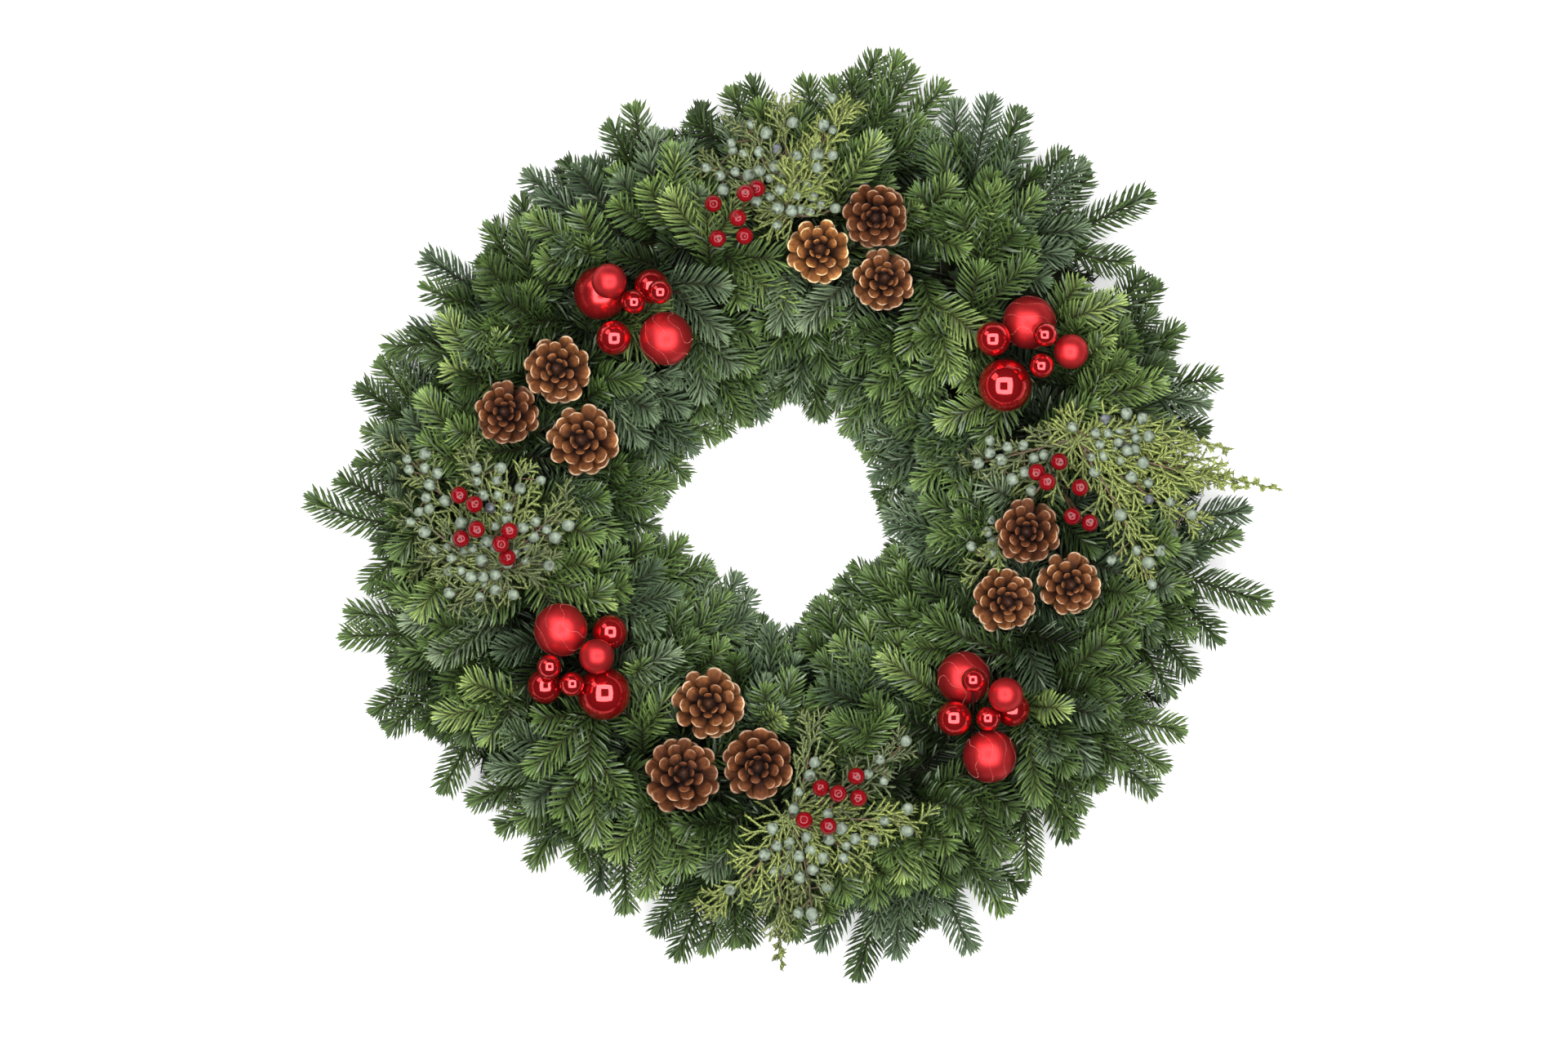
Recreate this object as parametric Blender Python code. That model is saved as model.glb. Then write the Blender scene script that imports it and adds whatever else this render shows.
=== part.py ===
# A round Christmas wreath of noble fir on a steel clamp ring, dressed with pine cones,
# red baubles, berry sprigs and juniper. It lies on its back: +Z is the side that is looked at,
# +Y is the top of the wreath as it would hang, and the origin is the middle of its underside.

import math
import random

import bmesh
import bpy
from mathutils import Matrix, Vector

# Sizes are in millimetres; MM makes them metres where a mesh is made.
MM = 0.001
GAP = 0.3
FLAT_ANGLE = math.radians(0.3)

# The ring: one steel wire, 16 inches across, with twelve clamps
RING_CENTRE = Vector((-6.0, 0.0, 0.0))
RING_RADIUS = 203.0
WIRE_RADIUS = 2.0
CLAMPS = 12
FIRST_CLAMP = 24.0
CLAMP_STEP = 360.0 / CLAMPS
WELD = 0.25
STRAP_THICK = 1.8
STRAP_WIDTH = 10.0
# Half of a clamp's outline: across the clamp, and up
STRAP_OUTSIDE = [(9.0, 0.0), (9.0, 11.0), (5.3, 18.4)]
STRAP_INSIDE = [(4.0, 17.8), (7.4, 10.6), (7.4, STRAP_THICK)]
RING_MIDDLE = STRAP_THICK + WIRE_RADIUS * math.sin(math.radians(60)) - WELD
RING_TOP = RING_MIDDLE + WIRE_RADIUS * math.sin(math.radians(60))
SEAT_HEIGHT = RING_TOP + GAP
# Wires and twigs stand this far straight up from their seat on the ring
STEM_RISE = Vector((0.0, 0.0, 9.0))
BUTT_RADIUS = 6.4
# The butts are six-sided, with a flat side down
BUTT_HEIGHT = SEAT_HEIGHT + BUTT_RADIUS * math.sin(math.radians(60))
# Where the sprays root in the butt: this far in or out of the ring's wire
ROOT_REACH = 14.3
# A bunch's woody core: out from the ring's wire, rise, and half its width there
CORE = [(-64.0, 14.0, 9.0), (-42.0, 9.0, 14.0), (-11.0, 0.0, BUTT_RADIUS),
        (11.0, 0.0, BUTT_RADIUS), (42.0, 8.0, 20.0), (68.0, 12.0, 24.0)]

# The hole, a little left of the ring's middle
HOLE_CENTRE = Vector((-13.5, -1.0, 0.0))
HOLE_RADIUS = 74.0

# Twigs with needles: the core's half height and how many times wider it is, a needle's length
# and forward slant, and the length and spacing of the bands that needles grow from
FIR = {"core": 1.6, "flat": 3.0, "needle": 16.0, "lean": 34.0, "band": 2.6, "step": 19.0}
JUNIPER = {"core": 1.5, "flat": 1.3, "needle": 5.0, "lean": 38.0, "band": 3.6, "step": 22.0}
TIP_LEAN = 14.0
FACE_TURNS = (30.0, 150.0, 270.0)
NEEDLE_SPREAD = 32.0
BORDER = 0.5
# How far a twig may rise and swing aside, turn about the ring and end lower to keep clear
TWIG_RISES = (0.0, -6.0, 6.0, -12.0, 12.0, 20.0, -18.0, 28.0)
TWIG_SWINGS = (0.0, 5.0, -5.0, 10.0, -10.0, 16.0, -16.0, 22.0, -22.0, 30.0, -30.0)
TWIG_TURNS = (0.0, 3.0, -3.0, 6.0, -6.0)
TWIG_DROPS = (0.0, 8.0, 16.0, 24.0, -8.0)
FIR_SEED = 4
# How far the needles of a tip stand past the end of their twig, and the bare end past them
TIP_BACK = 12.0
TWIG_END = 3.0

# Where the outermost sprays end, clamp by clamp: angle in degrees, distance from the ring's
# centre and height
OUTER_TIPS = [
    [(11.7, 322, 22), (17.7, 339, 34), (25.1, 327, 18), (31.5, 321, 38)],
    [(41.8, 357, 24), (49.0, 338, 40), (56.3, 330, 20), (63.1, 346, 36)],
    [(72.0, 343, 24), (78.4, 353, 36), (87.3, 313, 20), (94.2, 326, 34)],
    [(102.2, 312, 24), (110.4, 326, 38), (118.6, 311, 20), (126.2, 319, 36)],
    [(132.2, 309, 22), (139.5, 312, 38), (146.0, 331, 20), (155.6, 323, 34)],
    [(163.5, 329, 22), (170.5, 318, 38), (177.7, 353, 26), (185.8, 307, 38)],
    [(193.0, 334, 22), (199.0, 316, 38), (205.4, 331, 20), (215.8, 322, 36)],
    [(222.5, 318, 22), (229.4, 312, 38), (237.0, 314, 20), (245.8, 314, 36)],
    [(252.4, 319, 22), (258.4, 334, 38), (265.2, 319, 20), (272.6, 322, 36)],
    [(280.8, 347, 22), (287.0, 337, 38), (292.6, 346, 20), (303.6, 328, 36)],
    [(312.4, 322, 22), (319.0, 314, 38), (325.6, 343, 20), (333.6, 334, 36)],
    [(342.4, 320, 22), (349.4, 352, 30), (356.8, 336, 18), (4.6, 344, 36)],
]
# Each bunch's sprays at the hole: degrees from its clamp's angle, and height
HOLE_TIPS = [(-6.5, 24.0), (6.5, 38.0)]
# Its sprays over the top, outward and inward: distance from the ring's centre, height, and
# how many degrees they may turn to either side
UPPER_TIPS = [(282.0, 56.0, 7.0), (128.0, 54.0, 5.0)]

# Pine cones: place, widest radius and the angle of their stem's seat on the ring
CONE_HEIGHT = 54.0
CONE_BELT = 66.0
CONE_ROWS = 6
CONE_SIDES = 7
# The core's radius at each joint between rows, and each row's reach, as shares of the radius
CONE_CORE = [0.30, 0.54, 0.64, 0.60, 0.50, 0.36, 0.18]
CONE_REACH = [0.74, 0.98, 1.0, 0.90, 0.72, 0.48]
CONES = {
    "cone_1a": ((61.0, 218.5), 24.0, 72.0),
    "cone_1b": ((19.5, 193.0), 24.0, 78.5),
    "cone_1c": ((66.5, 171.5), 23.0, 66.0),
    "cone_2a": ((-171.5, 106.2), 25.0, 149.5),
    "cone_2b": ((-208.6, 74.3), 23.5, 157.0),
    "cone_2c": ((-153.0, 54.0), 26.5, 163.0),
    "cone_3a": ((172.5, -12.5), 24.0, 359.5),
    "cone_3b": ((202.5, -51.0), 23.5, 346.3),
    "cone_3c": ((154.8, -62.7), 24.0, 338.7),
    "cone_4a": ((-61.5, -139.0), 26.5, 253.0),
    "cone_4b": ((-81.0, -191.5), 28.0, 246.0),
    "cone_4c": ((-25.0, -182.5), 26.5, 258.0),
}

# Baubles: place and height of the middle, and size
BAUBLE_RADIUS = {"large": 19.6, "medium": 12.8, "small": 9.0}
BAUBLES = {
    "bauble_a1": ((-140.7, 162.3, 60.0), "large"),
    "bauble_a2": ((-134.1, 170.7, 92.0), "medium"),
    "bauble_a3": ((-103.5, 167.1, 70.0), "medium"),
    "bauble_a4": ((-96.9, 162.9, 92.0), "small"),
    "bauble_a5": ((-116.1, 155.7, 86.0), "small"),
    "bauble_a6": ((-130.8, 129.3, 78.0), "medium"),
    "bauble_a7": ((-92.7, 128.9, 74.0), "large"),
    "bauble_b1": ((173.5, 140.8, 62.0), "large"),
    "bauble_b2": ((146.7, 128.7, 80.0), "medium"),
    "bauble_b3": ((184.5, 131.7, 90.0), "small"),
    "bauble_b4": ((203.7, 119.4, 78.0), "medium"),
    "bauble_b5": ((182.1, 108.9, 86.0), "small"),
    "bauble_b6": ((155.4, 94.7, 74.0), "large"),
    "bauble_c1": ((-169.8, -84.3, 72.0), "large"),
    "bauble_c2": ((-133.7, -86.1, 68.0), "medium"),
    "bauble_c3": ((-143.1, -103.5, 88.0), "medium"),
    "bauble_c4": ((-177.9, -111.3, 86.0), "small"),
    "bauble_c5": ((-181.5, -125.7, 66.0), "medium"),
    "bauble_c6": ((-161.3, -123.9, 84.0), "small"),
    "bauble_c7": ((-138.3, -131.1, 65.0), "large"),
    "bauble_d1": ((125.3, -119.7, 62.0), "large"),
    "bauble_d2": ((132.0, -120.9, 92.5), "small"),
    "bauble_d3": ((155.7, -131.7, 89.0), "medium"),
    "bauble_d4": ((161.1, -142.5, 63.0), "medium"),
    "bauble_d5": ((118.2, -149.1, 78.0), "medium"),
    "bauble_d6": ((143.1, -149.1, 79.0), "small"),
    "bauble_d7": ((144.3, -176.7, 66.0), "large"),
}
MATTE = ("bauble_a1", "bauble_a2", "bauble_a7", "bauble_b1", "bauble_b4", "bauble_c1",
         "bauble_c3", "bauble_d1", "bauble_d3", "bauble_d7")
PICK_RADIUS = 1.1
# The stretches of the ring where each cluster's wires are twisted on: first and last angle
PICK_SEATS = {"a": (118.5, 139.5), "b": (28.5, 49.5), "c": (208.5, 229.5), "d": (298.5, 319.5)}
PICK_STEP = 2.1
# Where a wire may bend: its height, and how far aside of its bauble
KNEE_HEIGHTS = (36.0, 46.0, 56.0, 66.0, 26.0)
KNEE_REACHES = (0.0, 8.0, 15.0, 22.0, 30.0, 38.0)

# Berry sprigs: the angle of the twig's seat on the ring, and each berry's middle
BERRY_RADIUS = 6.4
FORK_HEIGHT = 40.65
BERRY_SPRIGS = {
    "berry_sprig_1": (98.5, [(-26.2, 238.5, 84), (-34.5, 234.7, 95), (-58.0, 227.5, 82),
                             (-39.9, 216.9, 90), (-35.1, 203.7, 86), (-54.9, 201.9, 84)]),
    "berry_sprig_2": (182.5, [(-243.7, 14.3, 80), (-232.5, 7.6, 88), (-230.9, -10.7, 92),
                              (-242.3, -17.5, 84), (-206.8, -12.0, 90), (-208.5, -31.3, 84),
                              (-213.2, -21.5, 92)]),
    "berry_sprig_3": (6.5, [(194.9, 38.8, 84), (178.5, 31.1, 86), (185.9, 24.0, 94),
                            (210.2, 19.9, 84), (204.3, -1.2, 92), (217.1, -5.9, 86)]),
    "berry_sprig_4": (278.0, [(46.5, -191.1, 86), (20.7, -199.7, 88), (33.2, -203.7, 95),
                              (48.1, -207.1, 84), (8.4, -223.3, 84), (26.1, -227.7, 86)]),
}

# Juniper sprays: the angle of the twig's seat on the ring, where its head is, where each
# strand ends, and its own berries
JUNIPER_BERRY = 4.0
LONG_STRAND = 110.0
# How far a strand may arch up and swing aside to keep clear, in order of trial
STRAND_LIFTS = (8.0, 16.0, 0.0, 24.0, -10.0, 32.0)
STRAND_SWINGS = (0.0, 12.0, -12.0, 24.0, -24.0, 36.0, -36.0, 50.0, -50.0)
JUNIPERS = {
    "juniper_1": (90.0, (-4.0, 222.0, 62.0),
                  [(40.0, 300.0, 58), (18.0, 268.0, 74), (-8.0, 303.0, 56), (-36.0, 286.0, 60),
                   (-66.0, 258.0, 60)]),
    "juniper_2": (188.5, (-214.0, -40.0, 62.0),
                  [(-292.0, 52.0, 52), (-284.0, 12.0, 60), (-276.0, -34.0, 54),
                   (-243.0, -62.0, 62), (-176.0, -36.0, 72), (-160.0, 6.0, 66)]),
    "juniper_3": (16.0, (206.0, 56.0, 60.0),
                  [(357.0, 18.3, 40), (318.0, 46.0, 56), (300.0, -8.0, 56), (262.0, -56.0, 60),
                   (258.0, 64.0, 62), (126.0, 36.0, 62)]),
    "juniper_4": (270.5, (-2.0, -222.0, 60.0),
                  [(-63.0, -290.0, 50), (-8.0, -334.0, 38), (14.0, -292.0, 58),
                   (58.0, -258.0, 64), (98.0, -226.0, 60), (84.0, -168.0, 64),
                   (12.0, -146.0, 62)]),
}

COLOURS = {
    "ring": ((0.05, 0.12, 0.06), 0.45, 0.6),
    "fir": ((0.055, 0.10, 0.03), 0.6, 0.0),
    "cone": ((0.20, 0.09, 0.04), 0.7, 0.0),
    "glossy": ((0.62, 0.01, 0.02), 0.12, 0.0),
    "matte": ((0.50, 0.02, 0.03), 0.5, 0.0),
    "berry": ((0.42, 0.01, 0.01), 0.2, 0.0),
    "juniper": ((0.22, 0.24, 0.06), 0.6, 0.0),
}


def clear_scene():
    for obj in list(bpy.data.objects):
        bpy.data.objects.remove(obj, do_unlink=True)


def make_material(name):
    colour, roughness, metallic = COLOURS[name]
    material = bpy.data.materials.new(name)
    material.use_nodes = True
    shader = material.node_tree.nodes["Principled BSDF"]
    shader.inputs["Base Color"].default_value = (*colour, 1.0)
    shader.inputs["Roughness"].default_value = roughness
    shader.inputs["Metallic"].default_value = metallic
    return material


def polar(angle, radius, z, centre=RING_CENTRE):
    turn = math.radians(angle)
    return Vector((centre.x + radius * math.cos(turn), centre.y + radius * math.sin(turn), z))


# Clearances: every finished piece leaves capsules (end, end, radius) that later ones avoid

def clamped(value):
    return min(max(value, 0.0), 1.0)


def segment_gap(a, b, c, d):
    """The least distance between the segments ab and cd. Either may be a point."""
    u, v, w = b - a, d - c, a - c
    uu, vv, uv, uw, vw = u.dot(u), v.dot(v), u.dot(v), u.dot(w), v.dot(w)
    if uu < 1e-9:
        s = 0.0
        t = clamped(vw / vv) if vv > 1e-9 else 0.0
    elif vv < 1e-9:
        s = clamped(-uw / uu)
        t = 0.0
    else:
        span = uu * vv - uv * uv
        s = clamped((uv * vw - uw * vv) / span) if span > 1e-9 else 0.0
        t = (uv * s + vw) / vv
        if t < 0.0 or t > 1.0:
            t = clamped(t)
            s = clamped((uv * t - uw) / uu)
    return (w + u * s - v * t).length


def is_clear(a, b, radius, obstacles):
    return all(segment_gap(a, b, c, d) > radius + wide + GAP for c, d, wide in obstacles)


def path_is_clear(points, radius, obstacles):
    return all(is_clear(a, b, radius, obstacles) for a, b in zip(points, points[1:]))


# Tubes: rings of corners along a path, each ring at right angles to it

def bend(start, control, end, count):
    """Points along a smooth curve from start to end, pulled towards control."""
    points = []
    for i in range(count):
        t = i / (count - 1)
        points.append(start * (1 - t) ** 2 + control * 2 * t * (1 - t) + end * t ** 2)
    return points


def directions(points):
    """The way that a path runs at each of its points."""
    along = []
    for i in range(len(points)):
        before = points[max(i - 1, 0)]
        after = points[min(i + 1, len(points) - 1)]
        along.append((after - before).normalized())
    return along


def ring_of(centre, along, across, size, sides, first=0.0):
    """Corners round a point. The size is half the width across, and half the height."""
    up = along.cross(across)
    turns = (first + 2 * math.pi * i / sides for i in range(sides))
    return [centre + across * math.cos(t) * size[0] + up * math.sin(t) * size[1]
            for t in turns]


def level_side(along):
    """The level direction at right angles to a path, to its left."""
    side = Vector((0, 0, 1)).cross(along)
    return side.normalized() if side.length > 1e-4 else Vector((1, 0, 0))


def extend(bm, face, points, radii):
    """Draws a face out along a path. Gives the side faces of each band, and the end face."""
    bands = []
    way = directions(points)
    across = face.verts[0].co - face.calc_center_median()
    for point, along, radius in zip(points, way, radii):
        across = (across - along * across.dot(along)).normalized()
        ring = ring_of(point, along, across, (radius, radius), len(face.verts))
        face = draw_out(bm, face, ring, bands)
    return bands, face


def draw_out(bm, face, ring, bands):
    """Extrudes the end face to a new ring of corners, and notes the band that this makes."""
    face = bmesh.ops.extrude_discrete_faces(bm, faces=[face])["faces"][0]
    for loop, corner in zip(face.loops, ring):
        loop.vert.co = corner
    sides = {other for edge in face.edges for other in edge.link_faces if other != face}
    bands.append(sorted(sides, key=lambda f: f.index))
    bm.faces.index_update()
    return face


def tube(bm, sides, points, sizes, level=False, first=0.0):
    """A closed tube along a path. Each size is a radius or, where it is level, a pair."""
    bands = []
    corners = None
    across = directions(points)[0].orthogonal()
    for point, along, size in zip(points, directions(points), sizes):
        across = level_side(along) if level else across - along * across.dot(along)
        size = size if level else (size, size)
        ring = ring_of(point, along, across.normalized(), size, sides, first)
        if corners is None:
            corners = [bm.verts.new(corner) for corner in ring]
            end = bm.faces.new(corners)
        else:
            end = draw_out(bm, end, ring, bands)
    bm.faces.new(list(reversed(corners)))
    return bands, end


def object_from(bm, name, material, collection):
    bmesh.ops.recalc_face_normals(bm, faces=bm.faces[:])
    bm.transform(Matrix.Scale(MM, 4))
    mesh = bpy.data.meshes.new(name)
    bm.to_mesh(mesh)
    bm.free()
    mesh.materials.append(material)
    obj = bpy.data.objects.new(name, mesh)
    collection.objects.link(obj)
    return obj


def keep_largest(bm):
    """Drops loose scraps, so that one body is left."""
    left = set(bm.verts)
    bodies = []
    while left:
        edge_of_body = [left.pop()]
        body = set(edge_of_body)
        while edge_of_body:
            vert = edge_of_body.pop()
            for edge in vert.link_edges:
                other = edge.other_vert(vert)
                if other not in body:
                    body.add(other)
                    left.discard(other)
                    edge_of_body.append(other)
        bodies.append(body)
    bodies.sort(key=len)
    for body in bodies[:-1]:
        bmesh.ops.delete(bm, geom=list(body), context="VERTS")


def fuse(base, pieces):
    """Joins the pieces to the base in one Boolean union, and removes them."""
    group = bpy.data.collections.new(base.name + "_pieces")
    bpy.context.scene.collection.children.link(group)
    for piece in pieces:
        for home in list(piece.users_collection):
            home.objects.unlink(piece)
        group.objects.link(piece)
    union = base.modifiers.new("union", "BOOLEAN")
    union.operation = "UNION"
    union.operand_type = "COLLECTION"
    union.collection = group
    union.solver = "EXACT"
    graph = bpy.context.evaluated_depsgraph_get()
    joined = bpy.data.meshes.new_from_object(base.evaluated_get(graph))
    base.modifiers.remove(union)
    bm = bmesh.new()
    bm.from_mesh(joined)
    bmesh.ops.remove_doubles(bm, verts=bm.verts[:], dist=2e-6)
    bmesh.ops.dissolve_degenerate(bm, edges=bm.edges[:], dist=2e-6)
    bmesh.ops.dissolve_limit(bm, angle_limit=FLAT_ANGLE, verts=bm.verts[:], edges=bm.edges[:])
    bmesh.ops.triangulate(bm, faces=bm.faces[:])
    keep_largest(bm)
    old = base.data
    material = old.materials[0]
    bm.to_mesh(joined)
    bm.free()
    joined.name = base.name
    joined.materials.clear()
    joined.materials.append(material)
    base.data = joined
    bpy.data.meshes.remove(old)
    for piece in pieces:
        bpy.data.objects.remove(piece, do_unlink=True)
    bpy.data.collections.remove(group)
    return base


# The steel ring

def mesh_of(curve_object, collection):
    """The mesh of a curve object, in its place, with its caps welded on."""
    graph = bpy.context.evaluated_depsgraph_get()
    mesh = bpy.data.meshes.new_from_object(curve_object.evaluated_get(graph))
    bm = bmesh.new()
    bm.from_mesh(mesh)
    bmesh.ops.remove_doubles(bm, verts=bm.verts[:], dist=1e-6)
    bm.to_mesh(mesh)
    bm.free()
    obj = bpy.data.objects.new(curve_object.name + "_mesh", mesh)
    obj.matrix_world = curve_object.matrix_world.copy()
    collection.objects.link(obj)
    bpy.data.objects.remove(curve_object, do_unlink=True)
    return obj


def make_clamp(index, material, collection):
    """A steel strap under the ring, with both ends folded over a bunch's butt."""
    curve = bpy.data.curves.new(f"clamp_{index}", "CURVE")
    curve.dimensions = "2D"
    curve.fill_mode = "BOTH"
    curve.extrude = STRAP_WIDTH / 2 * MM
    half = STRAP_OUTSIDE + STRAP_INSIDE
    outline = half + [(-x, y) for x, y in reversed(half)]
    spline = curve.splines.new("POLY")
    spline.points.add(len(outline) - 1)
    for point, (x, y) in zip(spline.points, outline):
        point.co = (x * MM, y * MM, 0.0, 1.0)
    spline.use_cyclic_u = True
    curve.materials.append(material)
    strap = bpy.data.objects.new(curve.name, curve)
    collection.objects.link(strap)
    angle = math.radians(FIRST_CLAMP + CLAMP_STEP * index)
    place = polar(math.degrees(angle), RING_RADIUS, 0.0) * MM
    strap.matrix_world = (Matrix.Translation(place)
                          @ Matrix.Rotation(angle + math.pi / 2, 4, "Z")
                          @ Matrix.Rotation(math.pi / 2, 4, "X"))
    bpy.context.view_layer.update()
    return mesh_of(strap, collection)


def make_ring(material, collection):
    bpy.ops.mesh.primitive_torus_add(major_segments=36, minor_segments=6,
                                     major_radius=RING_RADIUS * MM,
                                     minor_radius=WIRE_RADIUS * MM)
    ring = bpy.context.object
    ring.name = "ring_frame"
    ring.data.transform(Matrix.Translation((RING_CENTRE + Vector((0, 0, RING_MIDDLE))) * MM))
    for home in list(ring.users_collection):
        home.objects.unlink(ring)
    collection.objects.link(ring)
    ring.data.materials.append(material)
    return fuse(ring, [make_clamp(i, material, collection) for i in range(CLAMPS)])


# Pine cones

def make_cone(name, place, radius, seat_angle, material, collection, obstacles):
    """An open cone, tip up: staggered rows of scales drawn out of a slim core."""
    rng = random.Random(name)
    lean = math.radians(rng.uniform(2, 7))
    away = polar(seat_angle, 1.0, 0.0, Vector((0, 0, 0)))
    axis = (Vector((0, 0, 1)) + away * math.tan(lean) * rng.choice((-1, 1))).normalized()
    belt = Vector((place[0], place[1], CONE_BELT))
    points = []
    for row in range(CONE_ROWS + 1):
        share = 0.93 * (row / CONE_ROWS) ** 0.92 - 0.38
        points.append(belt + axis * CONE_HEIGHT * share)
    bm = bmesh.new()
    bands, end = tube(bm, CONE_SIDES, points, [radius * r for r in CONE_CORE])
    turn = math.pi / CONE_SIDES
    bm.verts.ensure_lookup_table()
    for row in range(CONE_ROWS + 1):
        spin = Matrix.Rotation(turn * row, 4, axis)
        for vert in bm.verts[row * CONE_SIDES:(row + 1) * CONE_SIDES]:
            vert.co = points[row] + spin @ (vert.co - points[row])
    for row, faces in enumerate(bands):
        for face in faces:
            middle = face.calc_center_median()
            foot = (points[row] + points[row + 1]) / 2
            out = (middle - foot).normalized()
            tip = foot + out * radius * CONE_REACH[row] * rng.uniform(0.94, 1.0)
            tip += axis * (2.0 + 5.5 * row / CONE_ROWS)
            vert = bmesh.ops.poke(bm, faces=[face])["verts"][0]
            vert.co = tip
    crown = bmesh.ops.poke(bm, faces=[end])["verts"][0]
    crown.co = points[-1] + axis * CONE_HEIGHT * 0.07
    cone = object_from(bm, name, material, collection)
    foot = points[0] + axis * 3.0
    seat = polar(seat_angle, RING_RADIUS, SEAT_HEIGHT)
    stem_path = [foot, seat + STEM_RISE, seat]
    bm = bmesh.new()
    tube(bm, 3, stem_path, [2.2, 1.6, 1.4])
    fuse(cone, [object_from(bm, name + "_stem", material, collection)])
    obstacles.append((points[1], points[-1] - axis * radius * 0.5, radius))
    obstacles.extend((a, b, 2.0) for a, b in zip(stem_path, stem_path[1:]))
    return cone


# Baubles on their wire picks

def pick_route(middle, radius, seats, obstacles):
    """A clear way for a bauble's wire, over one bend, to the nearest free seat."""
    for seat in sorted(seats, key=lambda s: (s - middle).length):
        for level in KNEE_HEIGHTS:
            for out in KNEE_REACHES:
                for step in range(1 if out == 0.0 else 16):
                    turn = step * math.pi / 8
                    knee = Vector((middle.x + out * math.cos(turn),
                                   middle.y + out * math.sin(turn), level))
                    if (knee - middle).length < radius + 4.0:
                        continue
                    path = [middle, knee, seat + STEM_RISE, seat]
                    if path_is_clear(path, PICK_RADIUS + 0.3, obstacles):
                        return path
    return None


def make_bauble(name, middle, size, path, material, collection):
    """A ball drawn out at one face into its neck and wire."""
    radius = BAUBLE_RADIUS[size]
    bm = bmesh.new()
    bmesh.ops.create_icosphere(bm, subdivisions=2, radius=radius,
                               matrix=Matrix.Translation(middle))
    way = (path[1] - middle).normalized()
    face = max(bm.faces, key=lambda f: f.calc_center_median().dot(way) - middle.dot(way))
    exit_point = middle + way * (radius + 0.4)
    extend(bm, face, [exit_point] + path[1:], [1.6, PICK_RADIUS, PICK_RADIUS, PICK_RADIUS])
    return object_from(bm, name, material, collection)


def make_baubles(materials, collection, obstacles):
    seats = {}
    for cluster, (first, last) in PICK_SEATS.items():
        count = int((last - first) / PICK_STEP + 1e-6) + 1
        seats[cluster] = [polar(first + PICK_STEP * i, RING_RADIUS, SEAT_HEIGHT)
                          for i in range(count)]
    balls = {name: (Vector(place), BAUBLE_RADIUS[size])
             for name, (place, size) in BAUBLES.items()}
    wires = []
    for name, (place, size) in sorted(BAUBLES.items(), key=lambda item: item[1][0][2]):
        middle, radius = balls[name]
        others = [(m, m, r) for other, (m, r) in balls.items() if other != name]
        path = pick_route(middle, radius, seats[name[7]], others + wires + obstacles)
        if path is None:
            raise ValueError(f"{name} has no clear way for its wire")
        seats[name[7]].remove(path[-1])
        wires += [(a, b, PICK_RADIUS + 0.3) for a, b in zip(path, path[1:])]
        kind = "matte" if name in MATTE else "glossy"
        make_bauble(name, middle, size, path, materials[kind], collection)
    obstacles += wires
    obstacles += [(m, m, r) for m, r in balls.values()]


# Berry sprigs

def make_berry_sprig(name, seat_angle, berries, material, collection, obstacles):
    """Round berries on thin stalks, which all grow from one twig."""
    places = [Vector(p) for p in berries]
    seat = polar(seat_angle, RING_RADIUS, SEAT_HEIGHT)
    fork = sum(places, Vector()) / len(places)
    fork.z = FORK_HEIGHT
    fork.xy = fork.xy.lerp(seat.xy, 0.5)
    twig_path = [seat, seat + STEM_RISE, fork, fork + Vector((0, 0, 4.0))]
    bm = bmesh.new()
    tube(bm, 4, twig_path, [1.5, 1.6, 2.2, 1.8])
    twig = object_from(bm, name, material, collection)
    pieces = []
    capsules = [(a, b, 2.2) for a, b in zip(twig_path, twig_path[1:])]
    for index, place in enumerate(places):
        way = (fork - place).normalized()
        bm = bmesh.new()
        bmesh.ops.create_icosphere(bm, subdivisions=1, radius=BERRY_RADIUS,
                                   matrix=Matrix.Translation(place))
        face = max(bm.faces, key=lambda f: f.calc_center_median().dot(way))
        extend(bm, face, [place + way * (BERRY_RADIUS + 1.0), fork + Vector((0, 0, 1.0))],
               [1.1, 1.0])
        pieces.append(object_from(bm, f"{name}_{index}", material, collection))
        capsules.append((place, place, BERRY_RADIUS))
        capsules.append((place, fork, 1.4))
    fuse(twig, pieces)
    obstacles += capsules
    return twig


# Sprays: a slim three-sided twig, whose narrow bands are drawn out into needles

def needle_turn(offset, along, size):
    """The way round the twig, in degrees, in which a needle leaves it, spread evenly."""
    side = level_side(along)
    across, up = offset.dot(side) / size[0], offset.dot(along.cross(side)) / size[1]
    turn = math.degrees(math.atan2(up, across)) % 360.0
    face = min(FACE_TURNS, key=lambda f: abs((turn - f + 180.0) % 360.0 - 180.0))
    off = (turn - face + 180.0) % 360.0 - 180.0
    return face + min(max(off * 2.0, -NEEDLE_SPREAD), NEEDLE_SPREAD)


def draw_needles(bm, faces, foot, along, size, style, lean, rng, allowed):
    """Splits each face of a narrow band in two, and draws each half out to a needle's tip."""
    side = level_side(along)
    up = along.cross(side)
    for half in bmesh.ops.triangulate(bm, faces=faces)["faces"]:
        middle = half.calc_center_median()
        turn = math.radians(needle_turn(middle - foot, along, size) + rng.uniform(-9, 9))
        slant = math.radians(lean + rng.uniform(-22, 22))
        out = side * math.cos(turn) + up * math.sin(turn)
        way = out * math.cos(slant) + along * math.sin(slant)
        tip = allowed(middle, middle + way * style["needle"] * rng.uniform(0.85, 1.1))
        if tip is None:
            continue
        vert = bmesh.ops.poke(bm, faces=[half])["verts"][0]
        vert.co = tip


def point_on(path, distance):
    """The point this far along a path."""
    for a, b in zip(path, path[1:]):
        length = (b - a).length
        if distance <= length or b is path[-1]:
            return a.lerp(b, distance / length)
        distance -= length


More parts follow.
